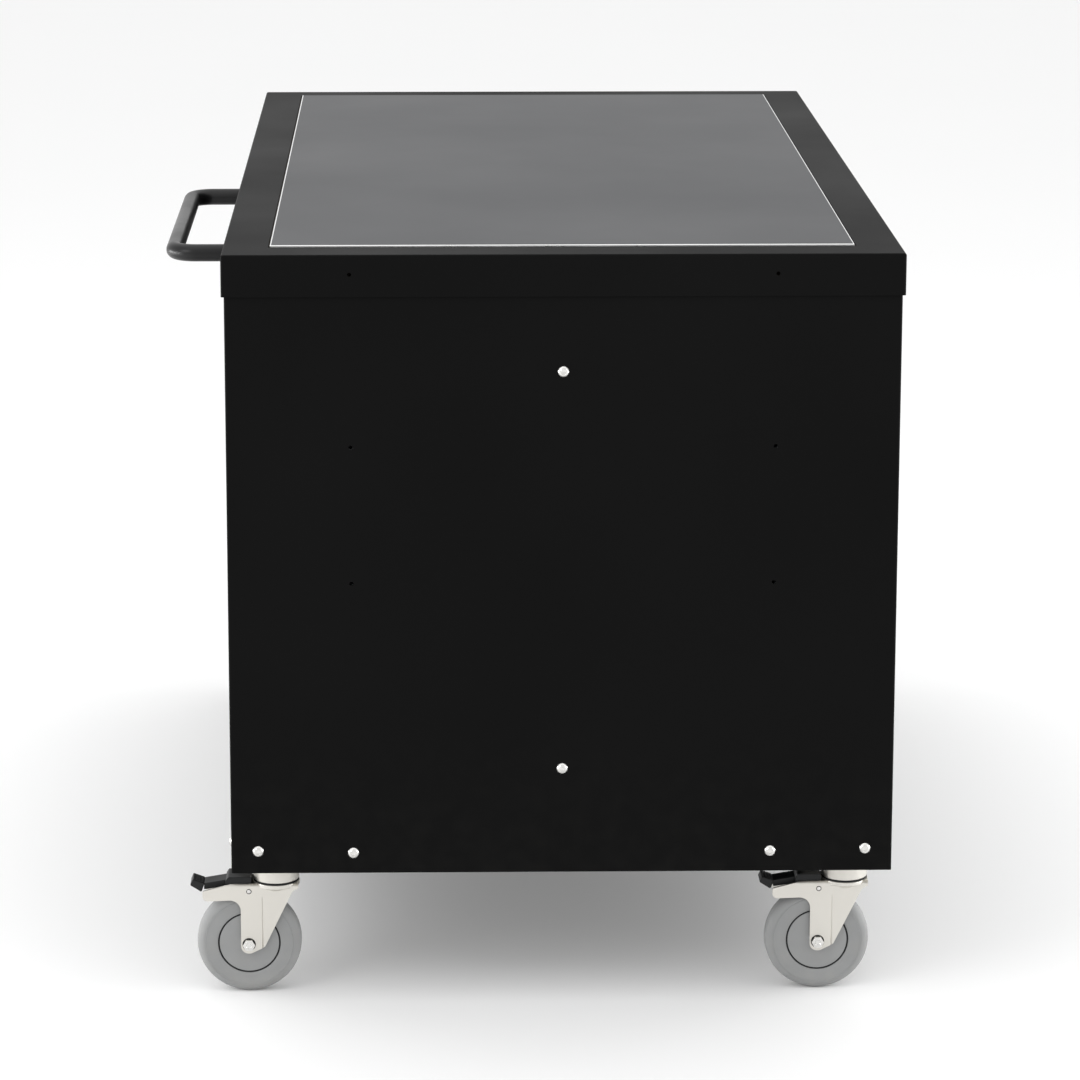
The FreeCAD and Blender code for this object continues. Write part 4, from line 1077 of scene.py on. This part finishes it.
@dataclass
class LockFace:
    """Ring round the lock's rim, the barrel's turned face and a dark patch of painted shade for its
    key's slot.

    Attributes:
        radius: The barrel's radius.
        rim: Radius of the barrel's rim, with the space round it.
        cam_long: Reach of the cam from the lock's middle, towards the left.
        drop: Distance of the lock's middle below the front's top edge.
        ring_wide: Width of the ring round the rim.
        slot_wide: Width of the key's slot.
        slot_tall: Length of the key's slot.
    """

    radius: float = 9.5
    rim: float = 11.7
    cam_long: float = 30.0
    drop: float = 21.0
    ring_wide: float = 2.2
    slot_wide: float = 1.5
    slot_tall: float = 7.0

    def build(self) -> None:
        """Make the ring, the barrel's face and the painted shade of the key's slot."""
        low, _ = node_box("lock_barrel")
        tray_low, tray_high = node_box("drawer_top_tray")
        middle = (low.x + self.cam_long, tray_low.y, tray_high.z - self.drop)
        edge = self.rim + self.ring_wide
        ring = [(self.rim, 0.0), (edge, 0.0), (edge, -0.3), (edge - 0.8, -1.1),
                (self.rim + 0.3, -1.1), (self.rim, -0.8)]
        Shape().turned(ring, "y", middle, closed=True).finish(
            "lock_ring", "drawer_top", Coats.CHROME, "lock_chrome")
        near = low.y - tray_low.y
        face = [(0.0, near + 0.3), (self.radius, near + 0.3), (self.radius, near - 0.5),
                (self.radius - 0.7, near - 1.1), (5.2, near - 1.1), (4.7, near - 0.8),
                (0.0, near - 0.8)]
        Shape().turned(face, "y", middle).finish("lock_face", "lock", Coats.CHROME, "lock_chrome")
        half, tall = self.slot_wide / 2, self.slot_tall / 2
        # The key's slot is not cut: a dark patch of painted shade stands for it on the face.
        Shape().block((middle[0] - half, low.y - 0.84, middle[2] - tall),
                      (middle[0] + half, low.y, middle[2] + tall)).finish(
            "lock_key_slot_shade", "lock", Coats.SHADE_FILL, "pedal_black")


# ---------------------------------------------------------------- rear
@dataclass
class RearRivets:
    """Blind rivets that hold the rear panel to the end panels' flanges.

    Attributes:
        head: Rivet head diameter.
        rise: How far a head stands off the flange.
        from_edge: Distance of a row from the chest's end.
        count: Rivets in a row.
        margin: Distance of a row's ends from the flange's ends.
    """

    head: float = 8.0
    rise: float = 1.4
    from_edge: float = 46.0
    count: int = 6
    margin: float = 60.0

    def build(self) -> None:
        """Make both rows as one piece."""
        low, high = node_box("left_end_panel")
        back = high.y
        start, end = low.z + self.margin + self.from_edge, high.z - self.margin
        radius = self.head / 2
        dome = [(0.0, -0.1), (radius, -0.1), (radius, 0.3), (radius - 0.9, self.rise - 0.3),
                (1.6, self.rise), (1.3, self.rise - 0.5), (0.0, self.rise - 0.5)]
        rivet = Shape().turned(dome, "y", steps=28)
        reach = -low.x - self.from_edge
        places = [Matrix.Translation((side * reach, back,
                                      start + (end - start) * number / (self.count - 1)))
                  for side in (-1, 1) for number in range(self.count)]
        rivet.copied(places).finish("rear_rivets", "root", Coats.POWDER, "black_powder_coat")


# ---------------------------------------------------------------- casters
@dataclass
class Caster:
    """Total-lock swivel caster, shaped round its swivel axis with the wheel trailing to +Y.

    Attributes:
        wheel: Wheel diameter.
        wheel_wide: Width of the tread.
        trail: Distance of the axle behind the swivel axis.
        shoulder: Rounding of the tread's shoulders.
        hub: Diameter of the tread's bore.
        ring_wide: Width of the gap between hub and tread, which a dark ring of painted shade fills.
        fork_in: Half the space between the fork's legs.
        sheet: Thickness of the fork's sheet.
        crown_low: Height of the crown's underside.
        crown_edge: Radius of the crown's rim.
        cup: Radius of the swivel cup.
        cup_gap: Height of the gap under the cup, which a dark ring of painted shade fills.
        plate: Side of the top plate.
        plate_thick: Thickness of the top plate.
        pivot_out: Distance of the pedal's pin behind the swivel axis.
        pivot_up: Height of the pedal's pin.
        arm_end: Distance of the fork arms' ends behind the swivel axis.
        pedal_half: Half the width of the pedal's housing.
        lever_half: Half the width of the pedal's lever.
        foot_drop: How far the fork's legs reach below the axle.
        axle: Radius of the axle's shank.
        bolt_flat: Width of the axle's head and nut across their flats.
        bolt_tall: Height of the axle's head and nut.
        shoe_back: Distance of the brake shoe's middle from the axle, along Y.
        shoe_gap: Space between the brake shoe and the tread.
        boss: Radius of the pedal's boss round its pin.
        rib_count: Grip ribs on the pedal's pad.
    """

    wheel: float = 125.0
    wheel_wide: float = 32.0
    trail: float = 32.5
    shoulder: float = 12.0
    hub: float = 74.8
    ring_wide: float = 1.7
    fork_in: float = 18.5
    sheet: float = 3.0
    crown_low: float = 135.0
    crown_edge: float = 28.4
    cup: float = 27.5
    cup_gap: float = 2.0
    plate: float = 92.0
    plate_thick: float = 4.0
    pivot_out: float = 32.0
    pivot_up: float = 128.8
    arm_end: float = 87.5
    pedal_half: float = 17.5
    lever_half: float = 12.0
    foot_drop: float = 11.5
    axle: float = 4.0
    bolt_flat: float = 13.0
    bolt_tall: float = 5.3
    shoe_back: float = 18.0
    shoe_gap: float = 2.3
    boss: float = 4.2
    rib_count: int = 4

    @property
    def plate_low(self) -> float:
        """Height of the top plate's underside."""
        return node_box("caster_front_left_mount")[1].z - self.plate_thick

    @property
    def fork_out(self) -> float:
        """Half the fork's whole width."""
        return self.fork_in + self.sheet

    @property
    def axle_place(self) -> tuple[float, float, float]:
        """Middle of the axle."""
        return 0.0, self.trail, self.wheel / 2

    @property
    def pin_place(self) -> tuple[float, float, float]:
        """Middle of the pedal's pin."""
        return 0.0, self.pivot_out, self.pivot_up

    def build(self) -> None:
        """Shape each piece once and set it at every corner."""
        shapes = {
            "top_plate": (self.mount_shape(), "root", Coats.ZINC, "zinc_plate", ["mount"]),
            # dark ring of painted shade in the gap between cup and crown
            "swivel_gap_shade": (self.cup_gap_shade_shape(), "root", Coats.SHADE_FILL, "pedal_black", []),
            "fork_pressing": (self.fork_shape(), "swivel", Coats.ZINC, "zinc_plate", ["fork"]),
            "axle_bolt": (self.axle_shape(), "swivel", Coats.SCREW, "zinc_plate", ["axle"]),
            "tread_tyre": (self.tread_shape(), "wheel", Coats.TREAD, "tread_rubber", ["tread"]),
            "hub_disc": (self.hub_shape(), "wheel", Coats.HUB, "hub_plastic", ["hub"]),
            # dark rings of painted shade in the gap between hub and tread
            "hub_gap_shade": (self.hub_gap_shade_shape(), "wheel", Coats.SHADE_FILL, "pedal_black", []),
            "pedal_lever": (self.pedal_shape(), "brake", Coats.PEDAL, "pedal_black", ["pedal"]),
            "pedal_ribs": (self.rib_shape(), "brake", Coats.PEDAL, "pedal_black", []),
            "pedal_pin": (self.pin_shape(), "brake", Coats.SCREW, "zinc_plate", []),
            # dark rings of painted shade round the ends of the pedal's pin and the axle
            "pin_gap_shade": (self.pin_gap_shade_shape(), "swivel", Coats.SHADE_FILL, "pedal_black", []),
        }
        for corner in ("front_left", "front_right", "rear_left", "rear_right"):
            low, high = node_box(f"caster_{corner}_mount")
            place = Matrix.Translation(((low.x + high.x) / 2, (low.y + high.y) / 2, 0.0))
            for piece, (shape, part, coat, slot, nodes) in shapes.items():
                body = "root" if part == "root" else f"caster_{corner}_{part}"
                shape.clone().moved(place).finish(
                    f"caster_{corner}_{piece}", body, coat, slot,
                    [f"caster_{corner}_{node}" for node in nodes])

    def mount_shape(self) -> Shape:
        """Shape the top plate with its swivel cup and king pin.

        Returns:
            The mount.
        """
        half = self.plate / 2
        top = self.plate_low + self.plate_thick
        corners = [(x, y, 8.0) for x, y in ((-half, -half), (half, -half), (half, half),
                                            (-half, half))]
        mount = Shape().prism(corners, "z", self.plate_low, top).soften(0.6)
        cup_low = self.crown_low + self.sheet + self.cup_gap
        cup = [(0.0, cup_low), (self.cup - 1.5, cup_low), (self.cup - 0.4, cup_low + 0.4),
               (self.cup, cup_low + 1.5), (self.cup, self.plate_low - 4.5),
               (self.cup + 0.8, self.plate_low - 2.0), (self.cup + 3.0, self.plate_low - 0.6),
               (self.cup + 3.0, self.plate_low), (0.0, self.plate_low)]
        pin_top = self.crown_low - 0.3
        pin = [(0.0, pin_top), (9.0, pin_top), (9.0, pin_top - 1.8), (7.4, pin_top - 3.2),
               (0.0, pin_top - 3.2)]
        return mount.turned(cup, steps=64).turned(pin, steps=32)

    def cup_gap_shade_shape(self) -> Shape:
        """Shape the dark ring of painted shade that fills the gap between the cup and the crown.

        Returns:
            The ring of painted shade.
        """
        low = self.crown_low + self.sheet + 0.1
        high = low + self.cup_gap - 0.2
        edge = self.cup - 0.3
        return Shape().turned(band(20.0, edge, low, high), steps=64, closed=True)

    def fork_shape(self) -> Shape:
        """Press the fork: a channel cut to its side outline, with a round crown.

        Returns:
            The fork.
        """
        out = self.fork_out
        top = self.crown_low + self.sheet
        foot = self.wheel / 2 - self.foot_drop
        bend = self.sheet + 1.5
        section = [(foot - 2, -out, 0.0), (top, -out, bend), (top, out, bend),
                   (foot - 2, out, 0.0), (foot - 2, self.fork_in, 0.0),
                   (self.crown_low, self.fork_in, 1.5), (self.crown_low, -self.fork_in, 1.5),
                   (foot - 2, -self.fork_in, 0.0)]
        channel = Shape().prism(section, "y", -30.0, self.arm_end + 5.0)
        side = [
            (-27.0, top + 1, 0.0), (-27.0, 132.0, 1.0), (-20.5, 129.5, 9.0), (13.6, 59.0, 5.0),
            (30.0, foot, 9.0), (42.0, foot, 9.0), (42.0, 118.2, 13.0),
            (self.arm_end, 116.4, 6.3), (self.arm_end, 129.0, 2.5), (48.0, top + 1, 2.0),
        ]
        fork = cut_shape(channel, Shape().prism(side, "x", -40.0, 40.0, 8), "INTERSECT")
        slot = Shape().block((-self.fork_in, 24.0, self.crown_low - 1), (self.fork_in, 100.0, 150))
        fork = cut_shape(fork, slot, "DIFFERENCE")
        self.press_crease(fork)
        fork.soften(0.45, 2, 50.0)
        return fork.turned(self.crown_profile(), steps=64, closed=True)

    @staticmethod
    def press_crease(fork: Shape) -> None:
        """Press an upright crease into each leg, with the sheet before it set back a little.

        Args:
            fork: The fork, still with plain legs.
        """
        rise, crease, flat, top, below = 17.0, 16.0, 15.0, 122.5, 119.0
        pressed, groove = 0.7, 1.3
        cuts = [((0, place, 0), (0, 1, 0)) for place in (rise, crease, flat)]
        for point, way in (*cuts, ((0, 0, top), (0, 0, 1)), ((0, 0, below), (0, 0, 1))):
            bmesh.ops.bisect_plane(
                fork.mesh, geom=[*fork.mesh.verts, *fork.mesh.edges, *fork.mesh.faces],
                dist=1e-4, plane_co=point, plane_no=way, clear_inner=False, clear_outer=False)
        for vert in fork.mesh.verts:
            if vert.co.z > below + 0.01 or vert.co.y > crease + 0.01:
                continue
            deep = groove if vert.co.y > flat + 0.01 else pressed
            vert.co.x -= math.copysign(deep, vert.co.x)

    def crown_profile(self) -> list[Point]:
        """Draw the crown's rim: a flat top, a short edge and a hollow under it.

        Returns:
            The closed profile.
        """
        top = self.crown_low + self.sheet
        edge = self.crown_edge
        hollow = arc((edge - 0.6, top - 12.5), 7.2, 92, 178, 6)
        return [(20.0, top), (edge - 1.2, top), (edge - 0.3, top - 0.4), (edge, top - 1.4),
                (edge, top - 4.6), *hollow, (20.0, top - 11.5), (20.0, self.crown_low)]

    def axle_shape(self) -> Shape:
        """Shape the axle bolt: hexagon head, lock nut, collars and thread end.

        Returns:
            The bolt.
        """
        out = self.fork_out
        height = self.wheel / 2
        corner = self.bolt_flat / 2 / math.cos(HEX_TURN / 2)
        turns = [HEX_TURN * number for number in range(6)]
        hexagon = [(self.trail + corner * math.cos(turn), height + corner * math.sin(turn), 0.0)
                   for turn in turns]
        bolt = Shape()
        for side, end in ((-1, 0.0), (1, 1.6)):
            first, last = sorted((side * out, side * (out + self.bolt_tall)))
            head = Shape().prism(hexagon, "x", first, last).soften(0.5)
            bolt.take(head.mesh)
            face = side * self.bolt_tall
            dome = [(0.0, face - side), (5.2, face - side), (5.2, face + side * 0.1),
                    (4.6, face + side * (0.5 + end)), (3.4, face + side * (0.5 + end)),
                    (2.6, face + side * (end - 0.4)), (0.0, face + side * (end - 0.6))]
            bolt.turned(dome, "x", (side * out, self.trail, height), 32)
        return bolt.turned(band(0.0, self.axle, -out - 1.0, out + 1.0), "x", self.axle_place, 24)

    def tread_shape(self) -> Shape:
        """Turn the tread, with round shoulders and a step where it meets the ring.

        Returns:
            The tread.
        """
        outer = self.wheel / 2
        half = self.wheel_wide / 2
        bore = self.hub / 2
        ridge = outer - self.shoulder + 1.6
        side = arc((outer - self.shoulder, half - self.shoulder), self.shoulder, 74, 0, 11)
        face = [(bore, half - 2.2), (bore + 0.3, half - 0.9), (bore + 1.6, half - 0.35),
                (bore + 4.0, half - 0.3), (ridge - 1.0, half - 0.35), (ridge - 0.5, half - 0.02),
                (ridge + 0.4, half - 0.02), (ridge + 0.8, half - 0.6), *side]
        return Shape().turned(mirrored(face), "x", self.axle_place, 112, closed=True)

    def hub_shape(self) -> Shape:
        """Turn the hub: a slightly conical disc and a boss that nears the fork.

        Returns:
            The hub.
        """
        rim = self.hub / 2 - self.ring_wide
        half = self.wheel_wide / 2
        boss = self.fork_in - 0.6
        face = [(4.3, boss), (9.6, boss), (10.4, boss - 0.8), (10.8, half + 0.2),
                (13.0, half - 0.5), (rim - 1.0, half - 1.1), (rim - 0.2, half - 1.5),
                (rim, half - 2.4)]
        return Shape().turned(mirrored(face), "x", self.axle_place, 96, closed=True)

    def hub_gap_shade_shape(self) -> Shape:
        """Turn the dark ring of painted shade that fills the gap between hub and tread, one on each
        face.

        Returns:
            Both rings of painted shade.
        """
        high = self.hub / 2 + 0.05
        low = high - self.ring_wide - 0.1
        deep, near = self.wheel_wide / 2 - 4.5, self.wheel_wide / 2 - 2.0
        hub_shade_rings = Shape()
        for side in (-1, 1):
            hub_shade_rings.turned(band(low, high, side * deep, side * near), "x", self.axle_place, 96,
                         closed=True)
        return hub_shade_rings

    def pedal_shape(self) -> Shape:
        """Shape the pedal: housing, sloping lever, tread pad and brake shoe.

        Returns:
            The pedal.
        """
        low = self.pivot_up + 0.4
        radius = self.wheel / 2
        shoe = radius + math.sqrt(radius ** 2 - self.shoe_back ** 2) + self.shoe_gap
        block = Shape().prism([
            (self.cup + 1.5, low, 1.0), (self.cup + 1.5, 145.5, 2.0), (57.0, 145.5, 2.5),
            (60.0, 141.0, 2.0), (60.0, 134.0, 3.0), (54.0, 131.8, 2.0), (54.0, shoe, 1.0),
            (47.0, shoe + 0.4, 1.0), (36.0, low, 2.0),
        ], "x", -self.pedal_half, self.pedal_half).soften(0.9, 2, 50.0)
        lever = Shape().prism([
            (56.0, 132.6, 1.0), (56.0, 141.4, 1.0), (86.0, 136.4, 1.0), (86.0, 128.6, 1.0),
        ], "x", -self.lever_half, self.lever_half).soften(0.8, 2, 50.0)
        pad = Shape().prism([
            (self.arm_end - 2.0, 136.2, 1.2), (99.6, 141.4, 1.2), (102.6, 134.4, 1.6),
            (self.arm_end + 1.5, 125.6, 1.6),
        ], "x", -self.lever_half - 1.5, self.lever_half + 1.5).soften(0.8, 2, 50.0)
        block.take(lever.mesh).take(pad.mesh)
        boss = band(0.0, self.boss, -self.pedal_half, self.pedal_half)
        return block.turned(boss, "x", self.pin_place, 24)

    def rib_shape(self) -> Shape:
        """Shape the grip ribs across the tread pad.

        Returns:
            The ribs.
        """
        start, end = Vector((0.0, self.arm_end + 0.4, 137.2)), Vector((0.0, 98.0, 140.9))
        slope = math.atan2(end.z - start.z, end.y - start.y)
        reach = self.lever_half - 0.5
        rib = Shape().block((-reach, -0.7, -0.5), (reach, 0.7, 0.5)).soften(0.25)
        return rib.copied(
            Matrix.Translation(start.lerp(end, number / (self.rib_count - 1)))
            @ Matrix.Rotation(slope, 4, "X") for number in range(self.rib_count))

    def pin_shape(self) -> Shape:
        """Shape the pedal's pin with a low riveted head on each side.

        Returns:
            The pin.
        """
        out = self.fork_out
        profile = [(0.0, -out - 0.9), (1.4, -out - 0.8), (2.3, -out - 0.2), (2.3, out + 0.2),
                   (1.4, out + 0.8), (0.0, out + 0.9)]
        return Shape().turned(profile, "x", self.pin_place, 24)

    def pin_gap_shade_shape(self) -> Shape:
        """Shape dark rings of painted shade in the gaps at the ends of the pedal's pin and axle.

        Returns:
            All four rings of painted shade.
        """
        deep, near = self.fork_out - 0.5, self.fork_out + 0.06
        spots = ((2.2, 3.2, self.pin_place), (6.4, 8.0, self.axle_place))
        pin_shade_rings = Shape()
        for side in (-1, 1):
            for inner, outer, place in spots:
                pin_shade_rings.turned(band(inner, outer, side * deep, side * near), "x", place, 32,
                            closed=True)
        return pin_shade_rings


def drop_plain_materials() -> None:
    """Remove the plain materials that came with the frame, so that finishes take their names."""
    for material in list(bpy.data.materials):
        bpy.data.materials.remove(material)


def main() -> None:
    """Build the studio and every piece of the chest, in order."""
    logging.basicConfig(level=logging.INFO, format="%(name)s: %(message)s")
    drop_plain_materials()
    Studio().build()
    FrameDress().build()
    ButtonScrews().build()
    PushHandle().build()
    InsetPlate().build()
    for drawer in ("drawer_top", "drawer_left_upper", "drawer_right_upper", "drawer_left_lower",
                   "drawer_right_lower"):
        DrawerFittings(drawer).build()
    LockFace().build()
    RearRivets().build()
    Caster().build()


if __name__ == "__main__":
    main()
